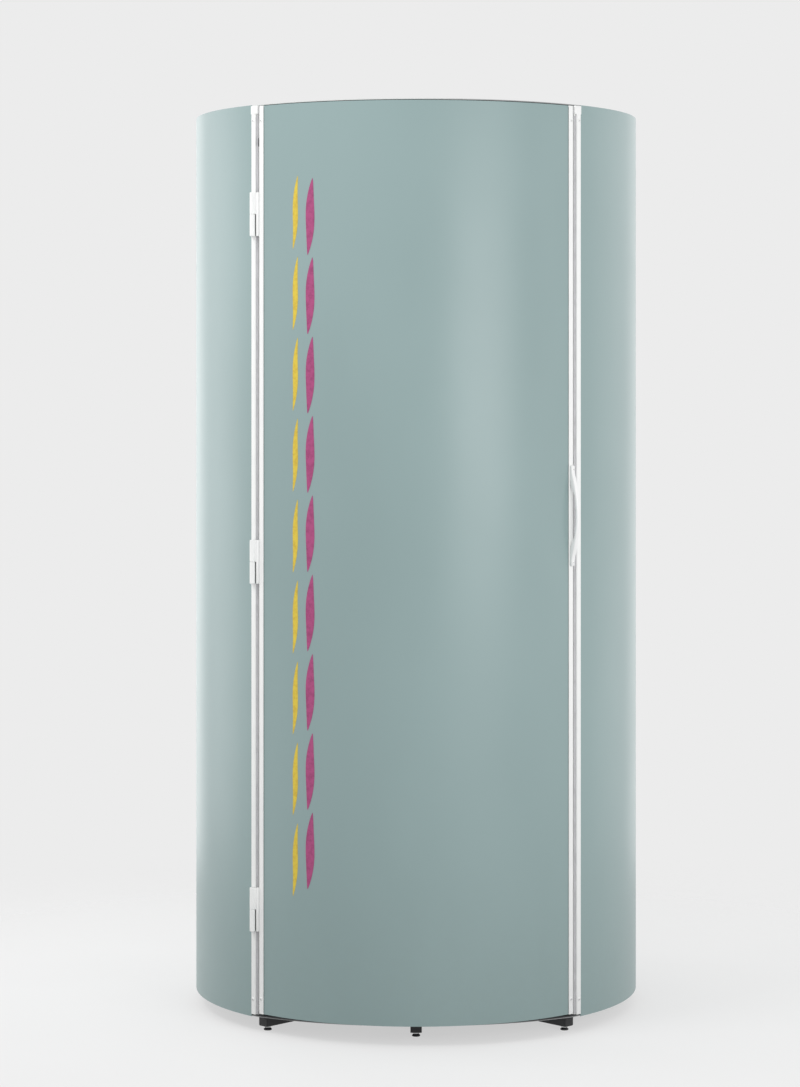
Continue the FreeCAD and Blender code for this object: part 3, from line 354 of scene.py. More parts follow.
acrylic = Finish("clear_acrylic", Roughness=0.06, IOR=1.49)
facing = acrylic.add("LayerWeight", {}, {"Blend": 0.35}, "Facing")
smears = acrylic.noise(7, 6, 0.7)
acrylic.surface(Base_Color=acrylic.blend(tint(226, 236, 238), tint(240, 246, 246), smears),
                Roughness=0.04 + smears.spread(0.45, 0.8) * 0.1,
                Alpha=0.1 + facing ** 3 * 0.4)

# %% [markdown]
# ## Dressing the model
# Each solid of the model comes with a slot named after what it is made of. A table says which finish takes
# the place of which slot.

# %% Give every node of the model its finish
FINISHES = {"base_steel": black, "black_plastic": black_plastic, "foot_plastic": foot_plastic,
            "floor_board": board, "mat_rubber": mat_rubber, "white_aluminium": white, "sage_steel": sage,
            "white_plastic": white_plastic, "galvanised": galvanised, "bright_aluminium": bright,
            "lamp_glass": glass, "clear_acrylic": acrylic, "grey_rubber": grey_rubber, "steel": zinc,
            "green_button": green_plastic, "red_button": red_plastic, "ballast_iron": ballast_paint}
for name, node in nodes.items():
    for holder in node.material_slots:
        holder.material = FINISHES[holder.material.name.split(".")[0]].material
print("dressed", len(nodes), "nodes with", len(FINISHES), "finishes")

# %% [markdown]
# ## Studio
# The booth stands on a plain pale floor that melts into a plain pale background. The floor is a disc whose
# edge fades out, so no horizon line cuts the view. Part of its paleness is a glow that only the camera and
# reflections see, so it lights nothing, and the rest is lit and catches the booth's shadow. The
# background's brightness is shown to the camera, to reflections and through clear parts. The light that
# falls on the booth has an even, moderate level of its own, so a colour comes out about as it is written.

# %% World
AROUND = 0.71
world = bpy.data.worlds.new("studio")
scene.world = world
world.use_nodes = True
sky = Network(world.node_tree)
camera_ray = sky.add("LightPath", {}, {}, "Is Camera Ray")
mirrored, through = camera_ray.beside("Is Glossy Ray"), camera_ray.beside("Is Transmission Ray")
shown = camera_ray.larger(mirrored).larger(through)
backdrop = sky.tree.nodes["Background"]
sky.feed(backdrop.inputs["Color"], tint(236, 236, 236))
lighting = sky.add("Background", {}, {"Color": (1.0, 1.0, 1.0, 1.0), "Strength": AROUND})
mixed = sky.add("MixShader", {}, {0: shown, 1: lighting, 2: Socket(sky, backdrop.outputs[0])})
sky.feed(sky.tree.nodes["World Output"].inputs["Surface"], mixed)
print("world of", len(sky.tree.nodes), "nodes")

# %% Floor
FADE_FROM, FADE_TO, FLOOR_RADIUS = 0.75, 2.3, 2.6
paper = Finish("studio_floor", Roughness=0.9, Emission_Strength=1.0)
from_axis = paper.add("VectorMath", {"operation": "LENGTH"}, {0: paper.place}, "Value")
camera_ray = paper.add("LightPath", {}, {}, "Is Camera Ray")
seen = camera_ray.larger(camera_ray.beside("Is Glossy Ray"))
pale = paper.blend(tint(144, 144, 144), tint(148, 148, 148), paper.noise(3, 2))
paper.surface(Base_Color=paper.blend(tint(156, 156, 156), pale, seen),
              Emission_Color=paper.blend((0, 0, 0, 1), tint(196, 196, 196), seen),
              Alpha=from_axis.spread(FADE_FROM, FADE_TO, 1, 0))
disc = bmesh.new()
bmesh.ops.create_circle(disc, cap_ends=True, radius=FLOOR_RADIUS, segments=96)
floor_mesh = bpy.data.meshes.new("studio_floor")
disc.to_mesh(floor_mesh)
disc.free()
floor = bpy.data.objects.new("studio_floor", floor_mesh)
floor.data.materials.append(paper.material)
scene.collection.objects.link(floor)

# %% [markdown]
# The lamps are large soft panels. A high one on the left lights the upper part of the booth more than its
# foot. One in front, a little to the right, draws the soft upright highlight on the door, because a cylinder
# reflects a panel as a narrow stripe. One on each side and one behind each shoulder reach down to the floor
# and draw the pale edges that make the round shape readable. They serve the views from behind as well.

# %% Lamps of the studio
def soft_panel(name, turn, distance, height, width, tall, power, aim=1.1, spread=180):
    """A rectangular lamp that looks at the booth's axis; a narrow spread keeps its light off the floor."""
    data = bpy.data.lights.new(name, "AREA")
    data.shape = "RECTANGLE"
    data.size, data.size_y, data.energy = width, tall, power
    data.spread = math.radians(spread)
    lamp = bpy.data.objects.new(name, data)
    angle = math.radians(turn)
    lamp.location = (distance * math.sin(angle), -distance * math.cos(angle), height)
    lamp.rotation_euler = (Vector((0, 0, aim)) - lamp.location).to_track_quat("-Z", "Y").to_euler()
    scene.collection.objects.link(lamp)
    print(name, power, "W")


TO_FLOOR = 2.36
soft_panel("front_panel", 32, 4.0, 1.5, 2.0, 1.1, 36, aim=1.35)
soft_panel("high_left_panel", -50, 2.8, 3.7, 1.6, 1.0, 41, aim=2.0)
soft_panel("right_front_panel", 70, 4.0, 1.3, 1.4, 1.8, 7, aim=1.2)
soft_panel("left_panel", -105, 2.2, 1.2, 1.2, TO_FLOOR, 7.2, aim=0.7, spread=130)
soft_panel("right_panel", 108, 2.2, 1.2, 1.2, TO_FLOOR, 3.0, aim=0.7, spread=130)
soft_panel("left_rim_panel", -141, 2.0, 1.2, 0.8, TO_FLOOR, 2.4, spread=100)
soft_panel("right_rim_panel", 141, 2.0, 1.2, 0.8, TO_FLOOR, 1.3, spread=100)

# %% [markdown]
# ## Making pieces
# Nearly every fitting on the booth can be seen as a row of outlines: a turned knob is a row of circles, a
# moulded block a row of rounded rectangles, a bow handle one section carried along a path. So there is one
# function that skins a row of outlines, and small ones that make the rows. Outlines that shrink a little at
# the ends give the soft edges that catch light, which a sharp box lacks.

# %% Skin a row of outlines
def skin(mesh, outlines, place=Matrix(), finish=0, ends="capped"):
    """Joins outlines of equally many points with faces. The ends are capped, or joined to each other."""
    rings = [[mesh.verts.new(place @ Vector(point)) for point in outline] for outline in outlines]
    pairs = list(zip(rings, rings[1:]))
    if ends == "joined":
        pairs.append((rings[-1], rings[0]))
    for ring, following in pairs:
        for i in range(len(ring)):
            j = (i + 1) % len(ring)
            mesh.faces.new((ring[i], ring[j], following[j], following[i])).material_index = finish
    if ends == "capped":
        for ring in (rings[0], rings[-1]):
            mesh.faces.new(ring).material_index = finish


def piece(name, mesh, finishes, body, *stands_for, crease=32):
    """Makes an object of a mesh, lets it ride on a body and stand for some nodes of the model."""
    bmesh.ops.recalc_face_normals(mesh, faces=mesh.faces)
    data = bpy.data.meshes.new(name)
    mesh.to_mesh(data)
    mesh.free()
    data.polygons.foreach_set("use_smooth", [True] * len(data.polygons))
    data.set_sharp_from_angle(angle=math.radians(crease))
    for finish in finishes:
        data.materials.append(finish.material)
    made = bpy.data.objects.new(name, data)
    scene.collection.objects.link(made)
    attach(made, body)
    if stands_for:
        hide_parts(*stands_for)
    print(name, len(data.polygons), "faces on", body)


# %% Rows of outlines
def turned(profile, sides=32):
    """Circles for a turned shape, from pairs of radius and height."""
    steps = [2 * math.pi * i / sides for i in range(sides)]
    return [[(radius * math.cos(a), radius * math.sin(a), height) for a in steps]
            for radius, height in profile]


def rounded(width, depth, corner, steps=3):
    """A rectangle with rounded corners, as flat points."""
    points = []
    for quarter, (across, along) in enumerate(((1, 1), (-1, 1), (-1, -1), (1, -1))):
        for step in range(steps + 1):
            a = math.pi / 2 * (quarter + step / steps)
            points.append((across * (width / 2 - corner) + corner * math.cos(a),
                           along * (depth / 2 - corner) + corner * math.sin(a)))
    return points


def block(width, depth, low, high, corner, edge):
    """An upright block with rounded corners, whose ends are softened by an edge."""
    loops, part = [], 0.3 * edge
    for height, inset in ((low, edge), (low + part, part), (low + edge, 0),
                          (high - edge, 0), (high - part, part), (high, edge)):
        flat = rounded(width - 2 * inset, depth - 2 * inset, max(corner - inset, 0.3 * corner))
        loops.append([(x, y, height) for x, y in flat])
    return loops


def swept(path, width, corner, end=0.001):
    """A rounded section carried along rows of y, z and thickness; its ends are softened."""
    loops = []
    for i, (y, z, thick) in enumerate(path):
        before, after = path[max(i - 1, 0)], path[min(i + 1, len(path) - 1)]
        run = Vector((0, after[0] - before[0], after[1] - before[1])).normalized()
        side = Vector((0, -run.z, run.y))
        inset = end if i in (0, len(path) - 1) else 0
        flat = rounded(width - 2 * inset, thick - 2 * inset, max(corner - inset, 0.3 * corner))
        loops.append([Vector((0, y, z)) + Vector((x, 0, 0)) + side * v for x, v in flat])
    return loops


# %% [markdown]
# ## Places on the cylinder
# Posts, hinges, screws and handles all sit on the drum's skin. Each is drawn flat in a small frame of its
# own, x along the skin, y inwards and z up, and one matrix carries it to its turn. What is on the left seam
# is the right seam's mirror image. The white strips, a post and a stile, stand at equal distances on either
# side of a seam.

# %% Places
RADIUS, SEAM, REAR = 0.510, 43.05, 131.958
STRIP_X = 0.01255
MIRROR = Matrix.Diagonal((-1, 1, 1, 1))
OUTWARD = Matrix.Rotation(math.radians(90), 4, "X")


def on_drum(turn, radius=RADIUS, height=0.0, facing=0.0):
    """The frame at a turn and radius: x along the skin, y inwards, z up."""
    angle = math.radians(turn)
    place = Matrix.Translation((radius * math.sin(angle), -radius * math.cos(angle), height))
    return place @ Matrix.Rotation(angle + math.radians(facing), 4, "Z")


def shift(x, y, z):
    """A move."""
    return Matrix.Translation((x, y, z))


right_seam, right_rear = on_drum(SEAM), on_drum(REAR)
left_seam, left_rear = MIRROR @ right_seam, MIRROR @ right_rear
print("right seam at", [round(value, 4) for value in right_seam.translation])

# %% [markdown]
# ## Hinges
# The door hangs on three lift-off hinges. Each has a lower knuckle on a foot, fixed to the body's post, an
# upper knuckle on a leaf, fixed to the door's stile, and a pin through both. The knuckles are tubes with a
# small chamfer, so the line where they meet shows as a thin dark ring. Turned rows of outlines whose last
# joins the first make a tube with its bore. A dark grey pad behind each lower knuckle is painted shade that
# fills the slit beside it.

# %% Hinges on the left seam
HINGE_HEIGHTS = (0.272, 1.0355, 1.799)
HALF, PIN_X, PIN_Y = 0.048, 0.0077, -0.0085
KNUCKLE, BORE, PIN, RIM, SLIT = 0.006, 0.00306, 0.003, 0.0008, 0.00015


def knuckle(mesh, low, high, place):
    """A bored tube round the pin, with a small chamfer at both ends."""
    profile = [(BORE, low), (KNUCKLE - RIM, low), (KNUCKLE, low + RIM),
               (KNUCKLE, high - RIM), (KNUCKLE - RIM, high), (BORE, high)]
    skin(mesh, turned(profile, 24), place @ shift(PIN_X, PIN_Y, 0), ends="joined")


pin_rod = [(0.0022, -HALF), (PIN, -HALF + 0.0006), (PIN, HALF - 0.0006), (0.0022, HALF)]
body_foot = block(0.0083, 0.005, -HALF, -SLIT, 0.0012, 0.0006)
door_leaf = block(0.0061, 0.009, -HALF, HALF, 0.0012, 0.0006)
door_neck = block(0.0077, 0.0052, SLIT, HALF, 0.0008, 0.0006)
# Painted shade: a dark grey pad fills the slit beside each lower knuckle.
slit_shade_pad = block(0.0034, 0.0056, -HALF + 0.0006, -0.0006, 0.0008, 0.0005)
body_half, door_half, pins, shade_pads = bmesh.new(), bmesh.new(), bmesh.new(), bmesh.new()
for middle in HINGE_HEIGHTS:
    at = left_seam @ shift(0, 0, middle)
    knuckle(body_half, -HALF, -SLIT, at)
    skin(body_half, body_foot, at @ shift(STRIP_X, -0.0045, 0))
    knuckle(door_half, SLIT, HALF, at)
    skin(door_half, door_leaf, at @ shift(-0.00245, -0.0005, 0))
    skin(door_half, door_neck, at @ shift(0.00385, -0.0058, 0))
    skin(shade_pads, slit_shade_pad, at @ shift(0.0039, 0.0008, 0))
    skin(pins, turned(pin_rod, 20), at @ shift(PIN_X, PIN_Y, 0))
piece("hinge_lower_knuckles", body_half, [white], "cabin", "hinge_body_halves")
piece("hinge_leaves", door_half, [white], "door", "hinge_door_halves")
piece("hinge_pin_rods", pins, [zinc], "cabin", "hinge_pins")
piece("hinge_slit_shades", shade_pads, [grey_rubber], "cabin")

# %% [markdown]
# ## Handles
# The outer handle is a bow moulded in white plastic: two flat feet on the stile with a screw in each, and a
# bar between them that stands off far enough for fingers. The bar is an arc of a large circle, and its legs
# are filled out towards the stile. The pull inside the door is the same idea, shorter and without full legs.

# %% Bow handles
handle_white = Finish("handle_moulding", Roughness=0.3, Coat_Weight=0.2)
gloss = handle_white.noise(45, 3)
handle_white.surface(Base_Color=handle_white.blend(tint(240, 241, 241), tint(245, 245, 244), gloss),
                     Roughness=0.26 + gloss * 0.08,
                     Normal=handle_white.relief(handle_white.noise(600, 1), 0.00003))


def bow(length, foot, reach, thick, seat, full=None):
    """A bow as rows of y, z and thickness; its legs are filled between two shares of its half length."""
    half, rise = length / 2 - foot, reach - thick
    bend = (half ** 2 + rise ** 2) / (2 * rise)
    widest, steps = math.asin(half / bend) * 0.93, 16
    arc = []
    for i in range(2 * steps + 1):
        a = widest * (i / steps - 1)
        z = (bend + thick / 2) * math.sin(a)
        filled = min(max((abs(z) / half - full[0]) / (full[1] - full[0]), 0), 1) if full else 0
        deep = thick + filled * (rise - bend * (1 - math.cos(a)))
        arc.append((seat - rise + bend - (bend + thick) * math.cos(a) + deep / 2, z, deep))
    level = seat - thick / 2
    ends = [(level, length / 2, thick), (level, length / 2 - 0.001, thick),
            (level, half + 0.35 * foot, thick)]
    return [(y, -z, deep) for y, z, deep in ends] + arc + ends[::-1]


HANDLE_HEIGHT, FOOT, PULL_RADIUS = 1.137, 0.017, 0.4221
outer_bow = bow(0.220, FOOT, reach=0.024, thick=0.007, seat=-0.002, full=(0.52, 0.8))
outer_handle = right_seam @ shift(-STRIP_X, 0, HANDLE_HEIGHT)
mesh = bmesh.new()
skin(mesh, swept(outer_bow, 0.010, 0.0024), outer_handle)
piece("bow_handle", mesh, [handle_white], "door", "door_handle", crease=50)

inner_bow = bow(0.180, FOOT, reach=0.032, thick=0.009, seat=0)
mesh = bmesh.new()
skin(mesh, swept(inner_bow, 0.014, 0.0034),
     on_drum(SEAM, PULL_RADIUS, HANDLE_HEIGHT, facing=180) @ shift(STRIP_X, 0, 0))
piece("inner_pull", mesh, [handle_white], "door", "door_pull", crease=50)

# %% [markdown]
# ## Screws
# Small pan-head screws hold the posts and stiles at head and foot, and two hold the handle. At this size a
# screw reads by its domed head and the cross of its recess, so the head is turned and the recess is two
# short grey bars let into the dome, whose grey is painted shade for the hollow. The heads are lacquered
# with the posts, so the cross is only a little darker.

# %% Pan-head screws
# The recess's grey is painted shade for its hollow.
recess = moulded("screw_recess_shade", tint(132, 133, 135), 0.6)


def pan_screw(mesh, place, radius=0.0034, rise=0.0018):
    """A domed head with a cross recess, standing outwards from y = 0 of its place."""
    dome = [(radius, 0), (radius, 0.28 * rise), (0.9 * radius, 0.62 * rise), (0.66 * radius, 0.86 * rise),
            (0.3 * radius, 0.985 * rise)]
    skin(mesh, turned(dome, 20), place @ OUTWARD)
    for quarter in (0, 90):
        cross = place @ OUTWARD @ Matrix.Rotation(math.radians(quarter + 20), 4, "Z")
        skin(mesh, block(1.15 * radius, 0.2 * radius, 0.5 * rise, rise, 0.00012, 0.00008), cross, 1)


POST_SCREWS, STILE_SCREWS, HANDLE_SCREWS, SEAT = (0.073, 2.005), (0.077, 2.0035), (-0.102, 0.102), -0.002
post_heads, stile_heads, handle_heads = bmesh.new(), bmesh.new(), bmesh.new()
for side in (right_seam, left_seam):
    for height in POST_SCREWS:
        pan_screw(post_heads, side @ shift(STRIP_X, SEAT, height))
    for height in STILE_SCREWS:
        pan_screw(stile_heads, side @ shift(-STRIP_X, SEAT, height))
for side in (right_rear, left_rear):
    for height in POST_SCREWS:
        pan_screw(post_heads, side @ shift(0, SEAT, height))
for height in HANDLE_SCREWS:
    pan_screw(handle_heads, outer_handle @ shift(0, -0.009, height), radius=0.003, rise=0.0009)
piece("post_screw_heads", post_heads, [white, recess], "cabin", "post_screws")
piece("stile_screw_heads", stile_heads, [white, recess], "door", "door_screws")
piece("handle_screw_heads", handle_heads, [white, recess], "door")

# %% [markdown]
# ## End caps and the rubber buffer
# The open top of each front post's channel is closed with a small white moulding, and a rubber buffer in the
# door's channel near the top keeps the closed door from rattling.

# %% Post caps and buffer
post_cap = block(0.0210, 0.0068, 2.0195, 2.0377, 0.0012, 0.0006)
mesh = bmesh.new()
for side in (right_seam, left_seam):
    skin(mesh, post_cap, side @ shift(0.0089, 0.0007, 0))
piece("post_end_caps", mesh, [handle_white], "cabin")

buffer = block(0.0034, 0.0052, 1.9475, 1.9665, 0.0012, 0.0012)
mesh = bmesh.new()
skin(mesh, buffer, left_seam @ shift(-0.0039, 0.0013, 0))
piece("door_buffer", mesh, [grey_rubber], "door")

# %% [markdown]
# ## Painted shade in the gap and along the skin
# Post and stile each have a step beside the gap between them. A hollow grey strip in each step is painted
# shade, so the gap reads as one soft shadow, and a thin dark grey bead in the corner between the lacquered
# sheet and the white nose is painted shade for the shadow line there. Each is one cross-section, given in
# millimetres in the seam's frame and drawn out along z.

# %% Gap shades and edge beads, both painted shade
# Painted shade: a grey strip in each step beside the gap, and a dark grey bead beside each white nose.
GAP_SHADE = ((2.0, 4.0), (2.0, 3.7), (3.1, 3.45), (4.1, 3.05), (4.9, 2.5), (5.4, 1.9), (5.8, 1.4), (5.8, 4.0))
BEAD = ((19.3, 0.6), (19.3, -0.6), (19.5, -0.55), (19.75, -0.3), (19.85, 0.1), (19.85, 0.6))
gap_shade_grey = moulded("gap_shade_grey", tint(200, 200, 203), 0.6, 500, 0.00004)
seam_shade = moulded("seam_shade_grey", tint(116, 126, 126), 0.55, 300, 0.00008)
CAP_HEIGHT, MARGIN = 0.0225, 0.002
for kind, body, side, cap in (("post", "cabin", 1, CAP_HEIGHT), ("stile", "door", -1, 0.0)):
    low, high = (corner[2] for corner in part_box(f"{'front_post' if side > 0 else 'door_stile'}_right"))
    mesh = bmesh.new()
    for seam in (right_seam, left_seam):
        for section, top, finish in ((GAP_SHADE, high - cap, 0), (BEAD, high - MARGIN, 1)):
            rows = [[(side * x / 1000, y / 1000, z) for x, y in section] for z in (low + MARGIN, top)]
            skin(mesh, rows, seam, finish)
    piece(f"{kind}_gap_shades", mesh, [gap_shade_grey, seam_shade], body)

# %% [markdown]
# ## Feet and the plugs of the base arms
# Each of the six arms under the booth stands on a levelling foot: a cone-shaped pad of hard plastic on a
# threaded stud with a lock nut. A thread is modelled here as a row of rings of changing radius, which at
# this size can't be told from a true helix. The open end of each square arm is closed with a plastic plug
# whose face is slightly domed.

# %% Levelling feet
ARMS = ((0, 0.414), (44, 0.484), (136, 0.484), (180, 0.484), (224, 0.484), (316, 0.484))
ARM_SIZE, ARM_HEIGHT = 0.025, 0.0225


def thread(radius, low, high, pitch=0.001, deep=0.0005):
    """Rings of a threaded stud."""
    turns = int((high - low) / pitch)
    return [(radius - (deep if i % 2 else 0), low + i * pitch / 2) for i in range(2 * turns)]


foot_pad = [(0.0080, 0), (0.009, 0.0007), (0.009, 0.0023), (0.0087, 0.0028), (0.0064, 0.0046),
            (0.0056, 0.005)]
stud = [(0.0044, 0.0048), *thread(0.0039, 0.0052, 0.0325), (0.0032, 0.0327)]
lock_nut = [(0.0066, 0.0058), (0.0072, 0.0063), (0.0072, 0.0089), (0.0066, 0.0094)]
for number, (turn, reach) in enumerate(ARMS, start=1):
    mesh = bmesh.new()
    at = on_drum(turn, reach - ARM_SIZE / 2)
    skin(mesh, turned(foot_pad), at)
    skin(mesh, turned(stud, 16), at, 1)
    skin(mesh, turned(lock_nut, 6), at, 1)
    piece(f"threaded_foot_{number}", mesh, [foot_plastic, zinc], f"foot_{number}", f"levelling_foot_{number}")

# %% Arm plugs
plug_face = block(ARM_SIZE, ARM_SIZE, 0, 0.0024, 0.0022, 0.0006)[:4]
for size, height in ((0.0236, 0.0026), (0.017, 0.003)):
    plug_face.append([(x, y, height) for x, y in rounded(size, size, 0.002)])
plug_body = block(0.0206, 0.0206, -0.004, 0.0004, 0.0015, 0.0004)
mesh = bmesh.new()
for turn, reach in ARMS:
    at = on_drum(turn, reach, ARM_HEIGHT) @ OUTWARD
    skin(mesh, plug_face, at)
    skin(mesh, plug_body, at)
piece("arm_plugs", mesh, [black_plastic], "cabin", "arm_end_caps", crease=25)

# %% [markdown]
# ## Lamps
# A fluorescent tube is 38 mm glass, drawn in to a smaller neck at each end where an aluminium cap is
# crimped on, and it stands between two white lampholders. Twenty-eight stand round the body and eight in
# the door. Each lamp is the same turned profile, so a loop over the turns makes them all in one mesh.

# %% Tubes and their caps
LAMP_CIRCLE, LAMP_LOW, LAMP_HIGH = 0.45235, 0.150, 1.914
BODY_LAMPS, DOOR_LAMPS, FIRST_BODY, FIRST_DOOR = 28, 8, 50.289, 35.811
body_turns = [FIRST_BODY + i * (360 - 2 * FIRST_BODY) / (BODY_LAMPS - 1) for i in range(BODY_LAMPS)]
door_turns = [FIRST_DOOR * (2 * i / (DOOR_LAMPS - 1) - 1) for i in range(DOOR_LAMPS)]
CAP = [(0.0150, 0), (0.0178, 0.0008), (0.0184, 0.0022), (0.0184, 0.0072), (0.0180, 0.0080)]
NECK = [(0.0172, 0.0070), (0.0176, 0.0085), (0.0187, 0.0115), (0.019, 0.0150)]


def lamp(mesh, turn):
    """A glass tube with its two caps."""
    at = on_drum(turn, LAMP_CIRCLE, LAMP_LOW)
    length = LAMP_HIGH - LAMP_LOW
    skin(mesh, turned(NECK + [(radius, length - z) for radius, z in NECK[::-1]], 28), at)
    skin(mesh, turned(CAP, 28), at, 1)
    skin(mesh, turned([(radius, length - z) for radius, z in CAP], 28), at, 1)


for name, turns, body in (("body_tubes", body_turns, "cabin"), ("door_tubes", door_turns, "door")):
    mesh = bmesh.new()
    for turn in turns:
        lamp(mesh, turn)
    piece(name, mesh, [glass, bright], body, name.replace("tubes", "lamps"))

# %% Lampholders
HOLDER_ENDS = ((0.125, 0.148, LAMP_LOW), (1.916, 1.939, LAMP_HIGH))
COLLAR = 0.0105
for name, turns, body in (("body_sockets", body_turns, "cabin"), ("door_sockets", door_turns, "door")):
    mesh = bmesh.new()
    for turn in turns:
        at = on_drum(turn, LAMP_CIRCLE)
        for low, high, collar_end in HOLDER_ENDS:
            skin(mesh, block(0.030, 0.024, low, high, 0.005, 0.0016), at)
            ends = sorted((collar_end, 0.5 * (low + high)))
            skin(mesh, turned([(COLLAR, z) for z in ends], 24), at)
    piece(name, mesh, [white_plastic], body, name.replace("sockets", "lamp_holders"))

# %% [markdown]
# ## Fans and their guards
# Two axial fans sit under the roof and draw the lamps' heat out. A guard is made of round wire: rings on two
# crossing bars, welded. The impeller has seven blades that are slightly hollow, like a ship's screw, on a
# hub with a rounded nose.

# %% Fan guards
ROOF_TOP, FAN_X, WIRE, BAR = 2.040, 0.150, 0.00125, 0.00115
RING_STEP, OUTER_RING, HUB_END, RIM_END = 0.022, 0.1215, 0.002, 0.1225


def hoop(mesh, place, radius, squeeze=1.0):
    """Round wire bent to a ring; squeeze makes a flat band of it."""
    rows = []
    for i in range(12):
        a = 2 * math.pi * i / 12
        rows.append((radius + squeeze * WIRE * math.cos(a), WIRE * math.sin(a)))
    skin(mesh, turned(rows, 72), place, ends="joined")


mesh = bmesh.new()
for x in (-FAN_X, FAN_X):
    fan = shift(x, 0, ROOF_TOP + WIRE)
    for ring in range(1, 5):
        hoop(mesh, fan, ring * RING_STEP + 0.0015)
    hoop(mesh, fan, OUTER_RING, squeeze=3.4)
    for quarter in range(4):
        spoke = fan @ Matrix.Rotation(math.radians(90 * quarter), 4, "Z")
        for offset in (-0.0018, 0.0018):
            bar = spoke @ shift(0, offset, 0) @ Matrix.Rotation(math.radians(90), 4, "Y")
            skin(mesh, turned([(BAR, HUB_END), (BAR, RIM_END)], 10), bar)
piece("wire_fan_guards", mesh, [zinc], "cabin", "fan_guards")

# %% Impellers
BLADES, HUB, TIP, SHAFT, BLADE_LOW, BLADE_HIGH = 7, 0.032, 0.116, 0.00406, 2.004, 2.028
BLADE_WIDTH, HOLLOW, INTO_HUB = 0.0316, 0.0022, 0.003


def blade_outline(radius):
    """The hollow section of a blade at one radius, as a closed outline."""
    upper, lower = [], []
    for i in range(9):
        share = i / 8
        across = BLADE_WIDTH * (share - 0.5)
        climb = BLADE_LOW + (BLADE_HIGH - BLADE_LOW) * share
        hollow = HOLLOW * math.sin(math.pi * share)
        half = 0.0011 * math.sin(math.pi * (0.12 + 0.76 * share)) + 0.0002
        upper.append((radius, across - hollow - half, min(climb + half, BLADE_HIGH)))
        lower.append((radius, across - hollow + half, max(climb - half, BLADE_LOW)))
    return upper + lower[::-1]


root = HUB - INTO_HUB
nose = [(SHAFT, BLADE_LOW), (HUB - 0.002, BLADE_LOW), (HUB, BLADE_LOW + 0.002), (HUB, BLADE_HIGH - 0.006),
        (HUB - 0.0018, BLADE_HIGH - 0.002), (HUB - 0.006, BLADE_HIGH), (SHAFT, BLADE_HIGH)]
for side, x in (("left", -FAN_X), ("right", FAN_X)):
    mesh = bmesh.new()
    for i in range(BLADES):
        at = shift(x, 0, 0) @ Matrix.Rotation(2 * math.pi * i / BLADES, 4, "Z")
        skin(mesh, [blade_outline(root + (TIP - root) * step / 6) for step in range(7)], at)
    skin(mesh, turned(nose, 40), shift(x, 0, 0), ends="joined")
    piece(f"impeller_{side}", mesh, [black_plastic], f"{side}_fan", f"fan_impeller_{side}", crease=45)

# %% [markdown]
# ## Behind: the louvres and the mains gland
# The rear panel breathes through two fields of slots. Behind each slot the sheet is pressed into a sloping
# blade, so that air passes and nobody looks into the machine. The gland is a clamped bush: a threaded
# tube with a hexagon nut on either side of the panel and a rounded clamping cap.

# %% Louvre blades
FIELDS, SLOTS, SLOT_PITCH, SLOT_HIGH, HALF_TURN = (0.160, 1.740), 12, 0.016, 0.006, 10.2
BLADE_FRONT, BLADE_BACK, BLADE_SHEET = 0.5083, 0.5010, 0.001
mesh = bmesh.new()
for field in FIELDS:
    for slot in range(SLOTS):
        low = field + SLOT_PITCH * slot
        top, foot = low + SLOT_HIGH + 0.0006, low - 0.0012
        section = [(BLADE_FRONT, top), (BLADE_FRONT, top + BLADE_SHEET),
                   (BLADE_BACK, foot), (BLADE_BACK, foot - BLADE_SHEET)]
        outlines = []
        for step in range(13):
            angle = math.radians(180 + HALF_TURN * (step / 6 - 1))
            outlines.append([(r * math.sin(angle), -r * math.cos(angle), z) for r, z in section])
        skin(mesh, outlines)
piece("louvre_blades", mesh, [sage], "cabin")

# %% Mains gland
GLAND_TURN, GLAND_HEIGHT, CORD_BORE = 158, 0.110, 0.0065
at = on_drum(GLAND_TURN, RADIUS, GLAND_HEIGHT) @ OUTWARD
tube = [(CORD_BORE, -0.019), (0.0094, -0.019), *thread(0.010, -0.0185, 0.006, 0.0015), (0.0100, 0.0062),
        (0.0100, 0.0120), (0.0092, 0.0142), (0.0078, 0.015), (CORD_BORE, 0.015)]
mesh = bmesh.new()
skin(mesh, turned(tube, 36), at, ends="joined")
for low, high in ((0.0001, 0.006), (-0.0080, -0.0021)):
    nut = [(0.0099, low), (0.0141, low), (0.0149, low + 0.0009),
           (0.0149, high - 0.0009), (0.0141, high), (0.0099, high)]
    skin(mesh, turned(nut, 6), at, ends="joined")
piece("gland_bush", mesh, [black_plastic], "cabin", "mains_gland")

# %% [markdown]
# ## Controls inside
# A guest sets the time with a knob and presses start or stop on a small box on the wall of shields. The box
# has a brushed face plate with a dial printed round the knob: strokes and plain minute numbers. The knob's
# skirt is fluted for grip, which is a circle whose radius rises and falls, and it has a white line as
# its pointer. The buttons are shallow domes in bright bezels.

# %% Control box and its face plate
# The face has a frame of its own: x to a guest's right, y up and z towards the guest.
READ = Matrix(((-1, 0, 0, 0), (0, 0, 1, 0), (0, 1, 0, 0), (0, 0, 0, 1)))
BOX_TURN, BOX_BACK, BOX_HEIGHT, BOX_DEPTH, DIAL_Y = 49, 0.42095, 1.290, 0.026, 0.060
face = on_drum(BOX_TURN, BOX_BACK, BOX_HEIGHT) @ READ
mesh = bmesh.new()
skin(mesh, block(0.070, 0.190, 0, BOX_DEPTH - 0.0002, 0.008, 0.0028), face)
piece("control_housing", mesh, [white_plastic], "cabin", "control_box")

plate = Finish("brushed_plate", Metallic=0.85, Roughness=0.35)
brush = plate.noise(420, 3, where=plate.scaled(1, 1, 0.02))
plate.surface(Base_Color=plate.blend(tint(186, 188, 190), tint(210, 212, 213), brush),
              Roughness=0.3 + brush * 0.14)
mesh = bmesh.new()
skin(mesh, block(0.060, 0.180, BOX_DEPTH - 0.001, BOX_DEPTH, 0.004, 0.0002), face)
piece("face_plate", mesh, [plate], "cabin")

